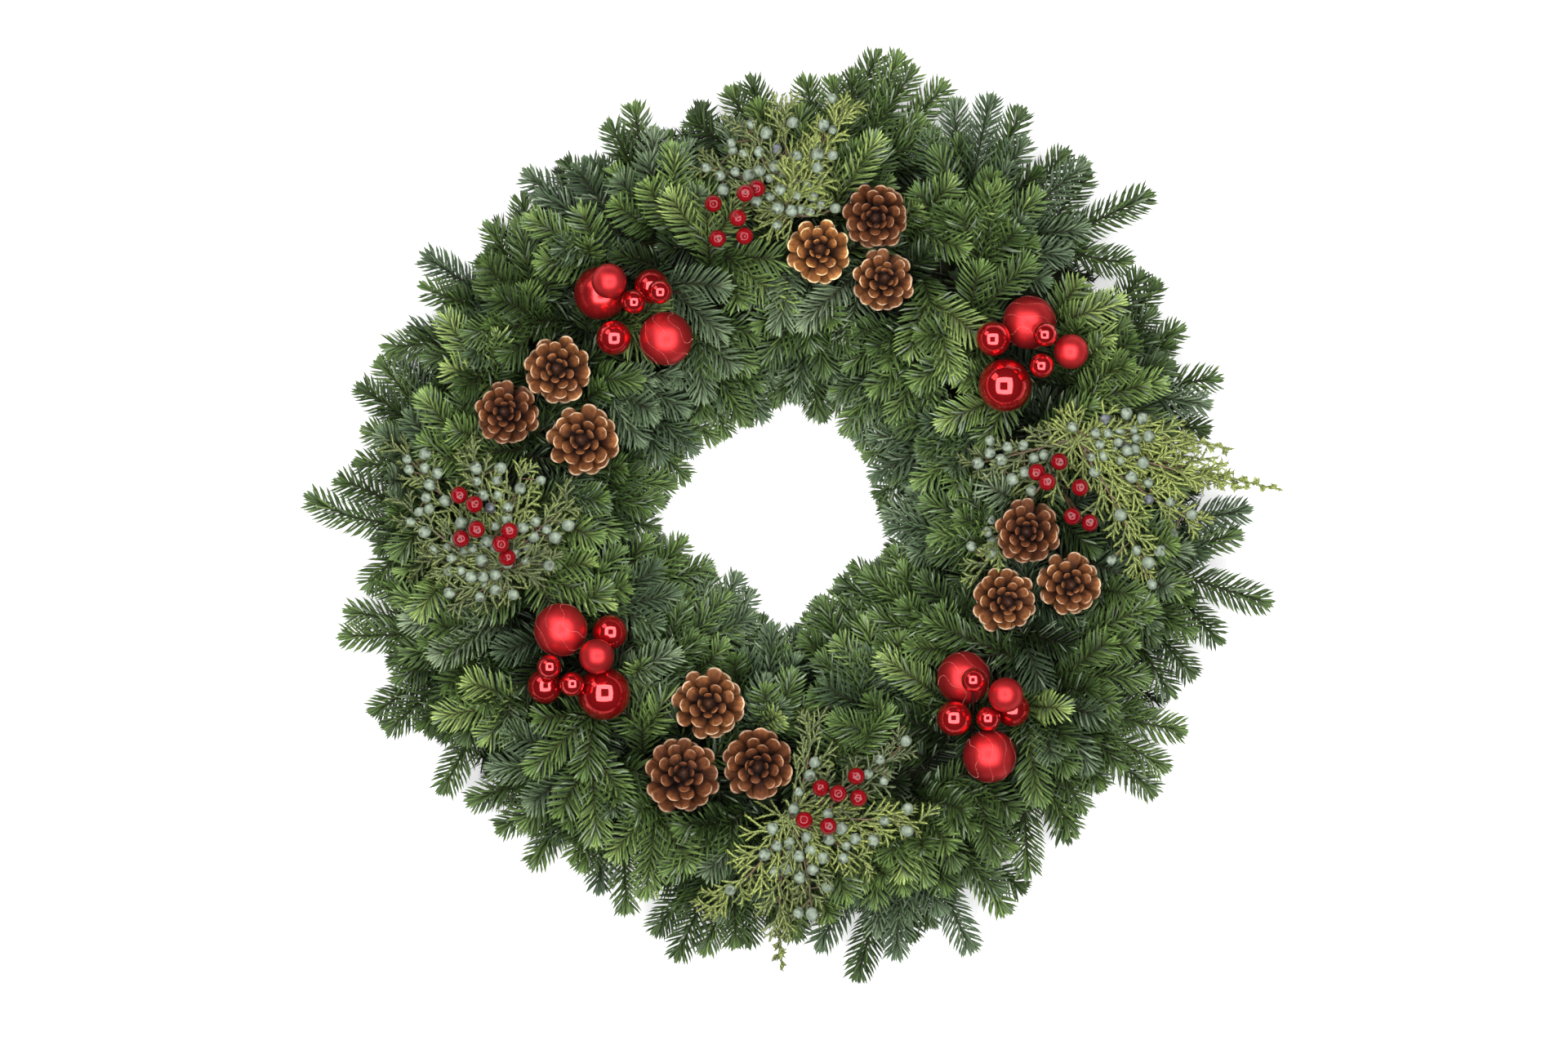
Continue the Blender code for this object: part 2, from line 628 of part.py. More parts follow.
def spray_stations(path, style, count):
    """Points and sizes along a twig, and which of the bands between them carry needles."""
    total = sum((b - a).length for a, b in zip(path, path[1:]))
    marks = [(total, 0.5, 1.0, False)]
    for i in range(count):
        outer = total - TWIG_END - style["step"] * i
        wide = style["flat"] * min(1.0, 0.6 + 0.2 * i)
        marks.append((outer, 0.75 + 0.1 * i, wide, True))
        marks.append((outer - style["band"], 0.8 + 0.1 * i, wide, False))
    marks.append((0.0, 1.5, 1.0, False))
    marks.reverse()
    points = [point_on(path, distance) for distance, _, _, _ in marks]
    sizes = [(style["core"] * high * wide, style["core"] * high) for _, high, wide, _ in marks]
    return points, sizes, [needles for _, _, _, needles in marks]


def stations_are_clear(stations, obstacles):
    """Whether a twig between these stations keeps clear of the obstacles."""
    points, sizes, _ = stations
    pairs = zip(points, points[1:], sizes, sizes[1:])
    return all(is_clear(a, b, max(p[0], q[0]) + 0.2, obstacles) for a, b, p, q in pairs)


def make_spray(name, stations, style, rng, allowed, material, collection):
    """A twig with needles, along its stations."""
    points, sizes, carries = stations
    bm = bmesh.new()
    bands, end = tube(bm, 3, points, sizes, True, math.pi / 2)
    way = directions(points)
    for i, faces in enumerate(bands):
        if carries[i + 1]:
            foot = (points[i] + points[i + 1]) / 2
            tip_lean = TIP_LEAN if i == len(bands) - 2 else 0.0
            draw_needles(bm, faces, foot, way[i + 1], sizes[i + 1], style,
                         style["lean"] + tip_lean, rng, allowed)
    point = bmesh.ops.poke(bm, faces=[end])["verts"][0]
    point.co = points[-1] + way[-1] * style["needle"] * 0.35
    return object_from(bm, name, material, collection)


# Juniper

def make_juniper(name, seat_angle, head, ends, material, collection, obstacles):
    """Thin strands with short scale leaves, which arch out of one twig, and a few berries."""
    rng = random.Random(name)
    seat = polar(seat_angle, RING_RADIUS, SEAT_HEIGHT)
    head = Vector(head)
    twig_path = [seat, seat + STEM_RISE, head, head + Vector((0, 0, 3.0))]
    bm = bmesh.new()
    tube(bm, 4, twig_path, [1.5, 1.7, 2.4, 1.8])
    twig = object_from(bm, name, material, collection)
    capsules = [(a, b, 2.4) for a, b in zip(twig_path, twig_path[1:])]
    pieces = []

    def allowed(a, b):
        for part in (1.0, 0.7, 0.45):
            tip = a.lerp(b, part)
            if is_clear(a, tip, 1.1, obstacles):
                return tip
        return None

    for index, end in enumerate(ends):
        stations = clear_strand(head, Vector(end), obstacles)
        if stations is None:
            print(f"{name} strand {index} has no clear way")
            continue
        pieces.append(make_spray(f"{name}_{index}", stations, JUNIPER, rng, allowed, material,
                                 collection))
        berry = stations[0][-3] + Vector((0, 0, 3.6))
        if index % 2 == 0 and is_clear(berry, berry, JUNIPER_BERRY, obstacles):
            bm = bmesh.new()
            bmesh.ops.create_icosphere(bm, subdivisions=1, radius=JUNIPER_BERRY,
                                       matrix=Matrix.Translation(berry))
            pieces.append(object_from(bm, f"{name}_berry_{index}", material, collection))
        capsules += [(a, b, 5.6) for a, b in zip(stations[0], stations[0][1:])]
    fuse(twig, pieces)
    obstacles += capsules
    return twig


def clear_strand(start, end, obstacles):
    """An arched twig from start to end that keeps clear, swung aside or lifted if it must."""
    side = level_side(end - start)
    count = 3 if (end - start).length > LONG_STRAND else 2
    for lift in STRAND_LIFTS:
        for swing in STRAND_SWINGS:
            control = (start + end) / 2 + side * swing + Vector((0, 0, lift))
            path = bend(start, control, end, 7)
            stations = spray_stations(path, JUNIPER, count)
            if stations_are_clear(stations, obstacles):
                return stations
    return None


# Fir bunches

class Wedge:
    """The room of one bunch: between two upright planes through the ring's centre."""

    def __init__(self, angle, obstacles):
        half = math.radians(CLAMP_STEP / 2)
        middle = math.radians(angle)
        self.walls = [Vector((-math.sin(middle - half), math.cos(middle - half), 0)),
                      Vector((math.sin(middle + half), -math.cos(middle + half), 0))]
        near = RING_CENTRE + Vector((math.cos(middle), math.sin(middle), 0)) * 220
        self.obstacles = [o for o in obstacles
                          if min((o[0] - near).xy.length, (o[1] - near).xy.length) < 210]

    def inside(self, point):
        """The point, moved within the walls."""
        point = point.copy()
        for wall in self.walls:
            depth = wall.dot(point - RING_CENTRE)
            if depth < BORDER:
                point += wall * (BORDER - depth)
        return point

    def first_clear_twig(self, start, end, lift, count):
        """A clear twig, whose end is lowered or turned about the ring where it has to be."""
        for turn in TWIG_TURNS:
            spin = Matrix.Rotation(math.radians(turn), 3, "Z")
            turned = RING_CENTRE + spin @ (end - RING_CENTRE)
            for drop in TWIG_DROPS:
                lowered = turned - Vector((0, 0, drop))
                stations = self.clear_twig(start, lowered, lift, count)
                if stations is not None:
                    return stations
        return None

    def free_width(self, points, wide):
        """Half the width that a core can have near these points without meeting anything."""
        width = BUTT_RADIUS
        while width < wide and all(self.strip_is_clear(points, width + s)
                                   for s in (0.0, 1.5, 3.0)):
            width += 3.0
        return min(width, wide)

    def strip_is_clear(self, points, offset):
        """Whether both edges of a strip along the points, this far out, are clear."""
        for side in (-1, 1):
            edge = []
            for point, along in zip(points, directions(points)):
                edge.append(point + level_side(along) * side * offset)
            if not path_is_clear(edge, BUTT_RADIUS, self.obstacles):
                return False
        return True

    def allowed(self, a, b):
        """The tip of a needle from a towards b that stays in the wedge and clear, or None."""
        for part in (1.0, 0.75, 0.5):
            tip = self.inside(a.lerp(b, part))
            tip.z = max(tip.z, 2.2)
            outside_hole = (tip - HOLE_CENTRE).xy.length > HOLE_RADIUS
            if outside_hole and is_clear(a, tip, 0.5, self.obstacles):
                return tip
        return None

    def clear_twig(self, start, end, lift, count):
        """The stations of an arched twig from start to end, swung aside until it is clear."""
        side = level_side(end - start)
        for rise in TWIG_RISES:
            for swing in TWIG_SWINGS:
                control = (start + end) / 2 + side * swing + Vector((0, 0, lift + rise))
                stations = spray_stations(bend(start, control, end, 8), FIR, count)
                if self.holds(stations) and stations_are_clear(stations, self.obstacles):
                    return stations
        return None

    def holds(self, stations):
        """Whether a twig between these stations stays within the walls and off the ground."""
        points, sizes, _ = stations
        low = min(point.z for point in points)
        spare = min(wall.dot(point - RING_CENTRE) - size[0]
                    for point, size in zip(points, sizes) for wall in self.walls)
        return low > 5.0 and spare > BORDER


def make_bunch(index, material, collection, obstacles):
    """One clamp's bunch: a woody butt, and sprays outward, inward and over the top."""
    name = f"fir_bunch_{index + 1:02d}"
    rng = random.Random(f"{name} {FIR_SEED}")
    angle = FIRST_CLAMP + CLAMP_STEP * index
    wedge = Wedge(angle, obstacles)
    inner_root = polar(angle, RING_RADIUS - ROOT_REACH, BUTT_HEIGHT)
    outer_root = polar(angle, RING_RADIUS + ROOT_REACH, BUTT_HEIGHT)
    points = [polar(angle, RING_RADIUS + out, BUTT_HEIGHT + rise) for out, rise, _ in CORE]
    sizes = []
    for i, (out, rise, wide) in enumerate(CORE):
        around = points[max(i - 1, 0):i + 2]
        sizes.append((wedge.free_width(around, wide), BUTT_RADIUS))
    sizes[0] = (sizes[0][0], BUTT_RADIUS * 0.6)
    sizes[-1] = (sizes[-1][0], BUTT_RADIUS * 0.6)
    bm = bmesh.new()
    tube(bm, 6, points, sizes, True)
    bunch = object_from(bm, name, material, collection)

    ends = []
    for tip_angle, distance, height in OUTER_TIPS[index]:
        ends.append((outer_root, polar(tip_angle, distance - TIP_BACK, height), 10.0, 3))
    for turn, height in HOLE_TIPS:
        distance = HOLE_RADIUS + rng.uniform(8, 14)
        ends.append((inner_root, polar(angle + turn, distance, height, HOLE_CENTRE), 14.0, 2))
    for root, (distance, height, spread) in zip((outer_root, inner_root), UPPER_TIPS):
        turn = rng.uniform(-spread, spread)
        ends.append((root, polar(angle + turn, distance, height), 22.0, 2))
    sprays = []
    for number, (root, end, lift, whorls) in enumerate(ends):
        start = root + Vector((0, 0, 1.0 + 0.3 * (number % 3)))
        stations = wedge.first_clear_twig(start, end, lift, whorls)
        if stations is None:
            print(f"{name} spray {number} has no clear way")
            continue
        sprays.append(make_spray(f"{name}_{number}", stations, FIR, rng, wedge.allowed,
                                 material, collection))
    return fuse(bunch, sprays)


def centre_on_origin(collection):
    """Moves the whole wreath so that the origin is the middle of its underside."""
    corners = [v.co for obj in collection.objects for v in obj.data.vertices]
    low = Vector(min(c[i] for c in corners) for i in range(3))
    high = Vector(max(c[i] for c in corners) for i in range(3))
    shift = Vector((-(low.x + high.x) / 2, -(low.y + high.y) / 2, -low.z))
    for obj in collection.objects:
        obj.data.transform(Matrix.Translation(shift))


def build():
    clear_scene()
    collection = bpy.data.collections.new("christmas_bauble_wreath")
    bpy.context.scene.collection.children.link(collection)
    materials = {name: make_material(name) for name in COLOURS}
    obstacles = []
    make_ring(materials["ring"], collection)
    for name, (place, radius, seat_angle) in CONES.items():
        make_cone(name, place, radius, seat_angle, materials["cone"], collection, obstacles)
    for name, (seat_angle, berries) in BERRY_SPRIGS.items():
        make_berry_sprig(name, seat_angle, berries, materials["berry"], collection, obstacles)
    make_baubles(materials, collection, obstacles)
    for name, (seat_angle, head, ends) in JUNIPERS.items():
        make_juniper(name, seat_angle, head, ends, materials["juniper"], collection, obstacles)
    for index in range(CLAMPS):
        make_bunch(index, materials["fir"], collection, obstacles)
    centre_on_origin(collection)


build()
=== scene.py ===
import math
import random

import bmesh
import bpy
import numpy as np
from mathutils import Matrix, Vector


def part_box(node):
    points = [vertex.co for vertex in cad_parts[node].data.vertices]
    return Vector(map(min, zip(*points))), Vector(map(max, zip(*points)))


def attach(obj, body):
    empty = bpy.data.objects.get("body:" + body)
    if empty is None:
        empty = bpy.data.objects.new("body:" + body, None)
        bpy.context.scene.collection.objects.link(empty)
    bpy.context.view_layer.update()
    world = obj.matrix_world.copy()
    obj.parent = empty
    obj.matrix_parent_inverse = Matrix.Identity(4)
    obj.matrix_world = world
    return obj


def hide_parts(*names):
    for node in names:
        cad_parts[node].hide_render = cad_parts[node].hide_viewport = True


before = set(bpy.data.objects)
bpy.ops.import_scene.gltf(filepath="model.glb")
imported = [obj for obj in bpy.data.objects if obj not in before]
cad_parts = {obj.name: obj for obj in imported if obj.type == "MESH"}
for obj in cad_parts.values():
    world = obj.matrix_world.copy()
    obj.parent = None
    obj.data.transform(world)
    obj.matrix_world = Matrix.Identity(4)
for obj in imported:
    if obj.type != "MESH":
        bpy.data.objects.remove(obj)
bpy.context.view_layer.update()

# Lengths are in millimetres on the wreath's own plane until a mesh is written.
MM = 0.001
RING_CENTRE = np.array((-6.0, 0.0, 0.0))
RING_RADIUS = 203.0
RING_LOW, RING_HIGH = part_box("ring_frame")
SHIFT = np.array((RING_LOW + RING_HIGH) / 2) / MM - RING_CENTRE
SHIFT[2] = 0.0
RIGHT, AHEAD, UP = np.eye(3)
# Where wires and twigs end, just over the ring, and the middle of the fir's butts
SEAT_HEIGHT, BUTT_HEIGHT = 5.31, 10.85
CLAMP_ANGLES = [24.0 + 30.0 * index for index in range(12)]
MAP_NAME = "OFBake"

# Tips of the outermost fir sprays: angle in degrees, distance from the ring's centre, height,
# and for a few the way that they point
OUTER_TIPS = [
    [(11.7, 322, 24), (15.2, 326, 40), (17.7, 339, 34), (25.1, 327, 22), (28.4, 314, 40),
     (31.5, 328, 30), (33.6, 322, 42), (21.0, 306, 46)],
    [(41.6, 362, 26, 28), (49.6, 344, 40), (52.2, 342, 22), (59.5, 349, 34), (63.4, 346, 38),
     (67.2, 334, 26)],
    [(70.0, 343, 24), (74.2, 345, 40), (76.1, 353, 34), (78.8, 351, 24), (87.3, 304, 22),
     (94.2, 326, 36), (96.8, 320, 24)],
    [(101.5, 312, 26), (107.4, 297, 40), (110.4, 326, 24), (114.0, 319, 40), (121.9, 311, 24),
     (126.9, 319, 36)],
    [(130.2, 309, 24), (135.9, 309, 38), (144.2, 331, 24), (147.6, 318, 40), (153.2, 312, 24),
     (156.6, 323, 36)],
    [(158.0, 316, 20), (159.8, 324, 24), (163.5, 331, 34), (168.5, 307, 38), (173.0, 321, 28),
     (178.4, 355, 28, 150), (184.0, 306, 38)],
    [(190.2, 310, 36), (193.0, 334, 24), (195.7, 341, 38), (205.6, 340, 24), (208.2, 336, 36),
     (211.5, 306, 26), (218.4, 328, 34)],
    [(223.0, 318, 26), (228.2, 317, 38), (234.2, 322, 24), (238.5, 302, 38), (243.2, 313, 24),
     (247.8, 319, 34)],
    [(253.2, 326, 24), (256.6, 339, 38), (259.8, 331, 26), (265.2, 321, 36), (271.5, 316, 26)],
    [(275.2, 324, 38), (279.4, 350, 26), (284.6, 339, 40), (289.6, 325, 26), (293.2, 352, 34),
     (299.0, 338, 40), (302.0, 332, 26)],
    [(304.8, 325, 36), (311.5, 322, 26), (315.6, 314, 38), (323.2, 345, 24), (326.3, 341, 34),
     (331.2, 338, 38)],
    [(335.8, 319, 38), (339.1, 328, 26), (344.1, 318, 36), (349.8, 366, 28), (356.0, 308, 36),
     (0.4, 345, 30)],
]
# Where the outer edge steps back: angle and distance from the ring's centre
NOTCHES = [(26, 305), (38, 284), (104.5, 290), (120, 290), (141, 290), (149, 292), (153.5, 296),
           (185.5, 296), (201, 305), (224, 300), (238.5, 285), (245.5, 265), (253.5, 278),
           (289, 296), (307, 285), (332, 298), (345, 305), (356, 305)]
# Tips that reach into the hole: angle and distance from the ring's centre
HOLE_TIPS = [(0, 74), (50, 77), (72, 74), (104, 72), (111, 73), (158, 77), (166, 84), (172, 89),
             (213, 66), (234, 56), (246, 62), (258, 78), (291, 68), (311, 63), (323, 63)]
# Where the foliage ends round the hole: angle and distance from the ring's centre
HOLE_EDGE = [(11, 67), (23, 68), (38, 73), (58, 74), (61, 88), (72, 74), (84, 83), (94, 80),
             (121, 70), (135, 73), (155, 86), (185, 92), (200, 87), (213, 65), (242, 71),
             (273, 85), (291, 67), (311, 63), (338, 80), (351, 76)]

# Cones: place, radius, seat angle, and tone from dark to tan
CONES = {
    "cone_1a": (61.0, 218.5, 24.0, 72.0, 0.25),
    "cone_1b": (19.5, 193.0, 24.0, 78.5, 0.95),
    "cone_1c": (66.5, 171.5, 23.0, 66.0, 0.60),
    "cone_2a": (-171.5, 106.2, 25.0, 149.5, 0.50),
    "cone_2b": (-208.6, 74.3, 23.5, 157.0, 0.45),
    "cone_2c": (-153.0, 54.0, 26.5, 163.0, 0.50),
    "cone_3a": (172.5, -12.5, 24.0, 359.5, 0.45),
    "cone_3b": (202.5, -51.0, 23.5, 346.3, 0.70),
    "cone_3c": (154.8, -62.7, 24.0, 338.7, 0.50),
    "cone_4a": (-61.5, -139.0, 26.5, 253.0, 0.55),
    "cone_4b": (-81.0, -191.5, 28.0, 246.0, 0.40),
    "cone_4c": (-25.0, -182.5, 26.5, 258.0, 0.35),
}
CONE_HEIGHT = 54.0
CONE_BELT = 66.0

# Baubles, by group: place, radius, and finish
BAUBLE_GROUPS = {
    "a": [(-140.7, 162.3, 60.0, 19.6, "satin"), (-134.1, 170.7, 92.0, 12.8, "matte"),
          (-103.5, 167.1, 70.0, 12.8, "glossy"), (-96.9, 162.9, 92.0, 9.0, "glossy"),
          (-116.1, 155.7, 86.0, 9.0, "glossy"), (-130.8, 129.3, 78.0, 12.8, "glossy"),
          (-92.7, 128.9, 74.0, 19.6, "glitter")],
    "b": [(173.5, 140.8, 62.0, 19.6, "glitter"), (146.7, 128.7, 80.0, 12.8, "glossy"),
          (184.5, 131.7, 90.0, 9.0, "glossy"), (203.7, 119.4, 78.0, 12.8, "matte"),
          (182.1, 108.9, 86.0, 9.0, "glossy"), (155.4, 94.7, 74.0, 19.6, "glossy")],
    "c": [(-169.8, -84.3, 72.0, 19.6, "glitter"), (-133.7, -86.1, 68.0, 12.8, "glossy"),
          (-143.1, -103.5, 88.0, 12.8, "matte"), (-177.9, -111.3, 86.0, 9.0, "glossy"),
          (-181.5, -125.7, 66.0, 12.8, "glossy"), (-161.3, -123.9, 84.0, 9.0, "glossy"),
          (-138.3, -131.1, 65.0, 19.6, "glossy")],
    "d": [(125.3, -119.7, 62.0, 19.6, "glitter"), (132.0, -120.9, 92.5, 9.0, "glossy"),
          (155.7, -131.7, 89.0, 12.8, "matte"), (161.1, -142.5, 63.0, 12.8, "glossy"),
          (118.2, -149.1, 78.0, 12.8, "glossy"), (143.1, -149.1, 79.0, 9.0, "glossy"),
          (144.3, -176.7, 66.0, 19.6, "glitter")],
}
BAUBLES = {f"bauble_{group}{index}": facts for group, baubles in BAUBLE_GROUPS.items()
           for index, facts in enumerate(baubles, 1)}

# Berry sprigs: seat angle, and the places of the berries
BERRY_RADIUS = 6.4
BERRY_SPRIGS = {
    "berry_sprig_1": (98.5, [(-26.2, 238.5, 84), (-34.5, 234.7, 95), (-58.0, 227.5, 82),
                             (-39.9, 216.9, 90), (-35.1, 203.7, 86), (-54.9, 201.9, 84)]),
    "berry_sprig_2": (182.5, [(-243.7, 14.3, 80), (-232.5, 7.6, 88), (-230.9, -10.7, 92),
                              (-242.3, -17.5, 84), (-206.8, -12.0, 90), (-208.5, -31.3, 84),
                              (-213.2, -21.5, 92)]),
    "berry_sprig_3": (6.5, [(194.9, 38.8, 84), (178.5, 31.1, 86), (185.9, 24.0, 94),
                            (210.2, 19.9, 84), (204.3, -1.2, 92), (217.1, -5.9, 86)]),
    "berry_sprig_4": (278.0, [(46.5, -191.1, 86), (20.7, -199.7, 88), (33.2, -203.7, 95),
                              (48.1, -207.1, 84), (8.4, -223.3, 84), (26.1, -227.7, 86)]),
}

# Juniper: seat angle, head, and strands (end, number of berries along it, how yellow it is)
JUNIPERS = {
    "juniper_1": (90.0, (-4.0, 222.0, 62.0), [
        ((40.0, 300.0, 60), 7, 0.9), ((18.0, 268.0, 76), 9, 0.8), ((-8.0, 303.0, 58), 6, 0.7),
        ((-36.0, 286.0, 62), 9, 0.5), ((-66.0, 258.0, 62), 9, 0.5), ((26.0, 222.0, 66), 5, 0.7),
        ((8.0, 250.0, 80), 6, 0.8)]),
    "juniper_2": (188.5, (-214.0, -40.0, 62.0), [
        ((-292.0, 52.0, 54), 9, 0.60), ((-286.0, 10.0, 62), 10, 0.46),
        ((-276.0, -34.0, 56), 8, 0.52), ((-243.0, -62.0, 64), 6, 0.42),
        ((-176.0, -36.0, 74), 3, 0.38), ((-160.0, 12.0, 66), 8, 0.50),
        ((-240.0, 52.0, 70), 8, 0.54), ((-196.0, 36.0, 72), 7, 0.68)]),
    "juniper_3": (16.0, (206.0, 56.0, 60.0), [
        ((357.0, 18.3, 42), 3, 1.0), ((321.0, 48.0, 58), 9, 0.9), ((300.0, -8.0, 58), 8, 0.9),
        ((262.0, -56.0, 62), 6, 0.8), ((258.0, 64.0, 64), 8, 0.7), ((126.0, 36.0, 64), 10, 0.4),
        ((330.0, 20.0, 56), 4, 1.0), ((130.0, -52.0, 60), 9, 0.6)]),
    "juniper_4": (270.5, (-2.0, -222.0, 60.0), [
        ((-63.0, -290.0, 52), 3, 0.9), ((-8.0, -334.0, 40), 6, 0.7), ((14.0, -292.0, 60), 9, 0.5),
        ((58.0, -258.0, 66), 5, 0.8), ((98.0, -226.0, 62), 4, 0.8), ((84.0, -168.0, 66), 5, 0.3),
        ((12.0, -146.0, 64), 4, 0.5)]),
}


def unit(vectors):
    return vectors / np.maximum(np.linalg.norm(vectors, axis=-1, keepdims=True), 1e-9)


def turned(first, second, angle):
    """The way from one vector towards a second one, by this angle or by many, in radians."""
    angle = np.expand_dims(angle, -1)
    return first * np.cos(angle) + second * np.sin(angle)


def radial(angle):
    return turned(RIGHT, AHEAD, np.radians(angle))


def polar(angle, radius, z=0.0):
    """The place at this angle, distance from the ring's centre, and height, or many places."""
    return RING_CENTRE + radial(angle) * np.expand_dims(radius, -1) + UP * np.expand_dims(z, -1)


def rotated(vector, degrees):
    turn = math.radians(degrees)
    c, s = math.cos(turn), math.sin(turn)
    return np.array((vector[0] * c - vector[1] * s, vector[0] * s + vector[1] * c, vector[2]))


def bend(start, control, end, count):
    """Points along a smooth curve from start to end, pulled towards control."""
    t = np.linspace(0, 1, count)[:, None]
    return start * (1 - t) ** 2 + control * 2 * t * (1 - t) + end * t ** 2


def step(low, high, x):
    """A smooth rise from 0 at low to 1 at high."""
    t = np.clip((x - low) / (high - low), 0, 1)
    return t * t * (3 - 2 * t)


def seeded(name, times=1):
    return np.random.default_rng(sum(map(ord, name)) * times)


def lengths_along(path):
    return np.concatenate([[0], np.cumsum(np.linalg.norm(np.diff(path, axis=0), axis=1))])


def sides_along(path):
    """Unit vectors along a path, across it and up from it, at each of its points."""
    along = unit(np.gradient(path, axis=0))
    across = np.cross(UP, along)
    across[np.linalg.norm(across, axis=1) < 0.05] = (1.0, 0.0, 0.0)
    across = unit(across)
    return along, across, np.cross(along, across)


def spots_on(path, marks):
    """Places at marks along a path, and which way it runs and what lies across it there."""
    lengths = lengths_along(path)
    along, across, _ = sides_along(path)
    spots, ways, sides = (np.stack([np.interp(marks, lengths, part) for part in values.T], -1)
                          for values in (path, along, across))
    return spots, unit(ways), unit(sides)


class Shape:
    """Triangles gathered from many small forms, with their places on the colour map."""

    def __init__(self):
        self.points, self.faces, self.places, self.slots = [], [], [], []
        self.count = 0

    def add(self, points, faces, places, slot=0):
        self.points.append(points)
        self.faces.append(faces + self.count)
        self.places.append(places)
        self.slots.append(np.full(len(faces), slot, np.int32))
        self.count += len(points)

    def piece(self, name, materials, slot):
        """Writes the mesh, and puts the piece in the place of its node."""
        points = (np.concatenate(self.points) + SHIFT) * MM
        mesh = bpy.data.meshes.new(name + "_looks")
        mesh.from_pydata(points.tolist(), [], np.concatenate(self.faces).tolist())
        mesh.polygons.foreach_set("material_index", np.concatenate(self.slots))
        layer = mesh.uv_layers.new(name=MAP_NAME, do_init=False)
        layer.uv.foreach_set("vector", np.concatenate(self.places).astype(np.float32).ravel())
        place_piece(name, mesh, materials)


def place_piece(name, mesh, materials):
    mesh.polygons.foreach_set("use_smooth", np.ones(len(mesh.polygons), bool))
    for material in materials:
        mesh.materials.append(material)
    piece = bpy.data.objects.new(name + "_looks", mesh)
    bpy.context.scene.collection.objects.link(piece)
    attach(piece, "root")
    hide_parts(name)


def squares(rows, columns, joined=(False, True)):
    """The squares of a grid of points: each corner's point, column and row.

    Joined says whether the last row meets the first one, and the last column the first one.
    """
    counts = (rows - (not joined[0]), columns - (not joined[1]))
    i, j = np.indices(counts).reshape(2, -1, 1)
    across, along = j + (0, 1, 1, 0), i + (0, 0, 1, 1)
    return along % rows * columns + across % columns, across, along


def halved(corners):
    """The triangles of squares: the first half of each, and then the second ones."""
    return np.concatenate([corners[:, [0, 1, 2]], corners[:, [0, 2, 3]]])


def fan(first, sides, tip):
    """Triangles from a ring of points to a tip."""
    around = np.arange(sides)
    return np.stack([first + around, first + (around + 1) % sides, np.full(sides, tip)], 1)


def pointed_tube(rows, sides):
    """The triangles of a tube that ends in one last point: each corner's point, column and row."""
    corners, across, along = map(halved, squares(rows, sides))
    around = np.arange(sides)[:, None]
    return (np.vstack([corners, fan((rows - 1) * sides, sides, rows * sides)]),
            np.vstack([across, around + (0, 1, 0.5)]),
            np.vstack([along, np.tile((rows - 1, rows - 1, rows), (sides, 1))]))


def tube(shape, path, radii, column, columns, sides=5, slot=0, tall=1.0):
    """A round twig along a path, with a pointed end."""
    along, across, up = sides_along(path)
    turn = np.linspace(0, 2 * np.pi, sides, endpoint=False)
    radii = np.asarray(radii, float)[:, None, None]
    ring = turned(across[:, None], up[:, None], turn)
    points = (path[:, None] + ring * radii).reshape(-1, 3)
    faces, around, height = pointed_tube(len(path), sides)
    u = (column + 0.1 + 0.8 * around / sides) / columns
    v = np.minimum(height / (len(path) - 1), 1.0)
    v[-sides:, :2] = 0.97
    shape.add(np.vstack([points, path[-1] + along[-1] * radii[-1, 0]]), faces,
              np.stack([u, v * tall], -1), slot)


# The fir's colour map: columns of green and grey needle tops, undersides, bark and inner mat
COLUMNS = 64
TOPS, GREYS, UNDERS, BARK, MAT = (0, 32), (32, 12), (44, 10), (54, 6), (60, 4)


def column_of(group, share):
    first, count = group
    return first + np.minimum((np.asarray(share) * count).astype(int), count - 1)


# A needle is two strips folded along its ridge: three corners at its root and in the middle
NEEDLE_FACES = np.array([(0, 2, 5), (0, 5, 3), (2, 1, 4), (2, 4, 5), (3, 5, 6), (5, 4, 6)])
# Each corner of those faces: how far across the column, and how far along the needle
NEEDLE_ACROSS = np.array((0.1, 0.9, 0.5, 0.1, 0.9, 0.5, 0.5))
NEEDLE_ALONG = np.array((0.02, 0.02, 0.02, 0.74, 0.74, 0.74, 0.98))
NEEDLE_BEND = 0.72
# A straight needle, for the dark low layers
PLAIN_FACES = np.array([(0, 2, 3), (2, 1, 3)])
PLAIN_ALONG = np.array((0.02, 0.02, 0.02, 0.98))


def bent(base, start, finish, length):
    """Where each needle is bent, and its tip."""
    middle = base + start * length[:, None] * NEEDLE_BEND
    return middle, middle + finish * length[:, None] * (1 - NEEDLE_BEND)


def needles(shape, base, start, finish, face, length, width, columns, plain=False):
    """Needles with a ridge on top, bent once, all in one go."""
    middle, tip = bent(base, start, finish, length)
    side = unit(np.cross(start, face))
    top = unit(np.cross(side, start)) * width[:, None]
    side = side * width[:, None]
    root = [base - side * 0.42, base + side * 0.42, base + top * 0.28]
    belt = [middle - side * 0.5, middle + side * 0.5, middle + top * 0.36]
    if plain:
        corners, faces, along = root + [tip], PLAIN_FACES, PLAIN_ALONG
    else:
        corners, faces, along = root + belt + [tip], NEEDLE_FACES, NEEDLE_ALONG
    add_leaves(shape, corners, faces, columns, NEEDLE_ACROSS, along)


def add_leaves(shape, corners, faces, columns, across, along):
    """Many leaves of one form, from the places of each of its corners."""
    count = len(corners[0])
    u = (columns[:, None, None] + across[faces][None]) / COLUMNS
    v = np.broadcast_to(along[faces][None], u.shape)
    every = (faces[None] + len(corners) * np.arange(count)[:, None, None]).reshape(-1, 3)
    shape.add(np.stack(corners, 1).reshape(-1, 3), every, np.stack([u, v], -1).reshape(-1, 3, 2))


JUNIPER_RISE = 9.0
COVER_RADIUS = 9.0


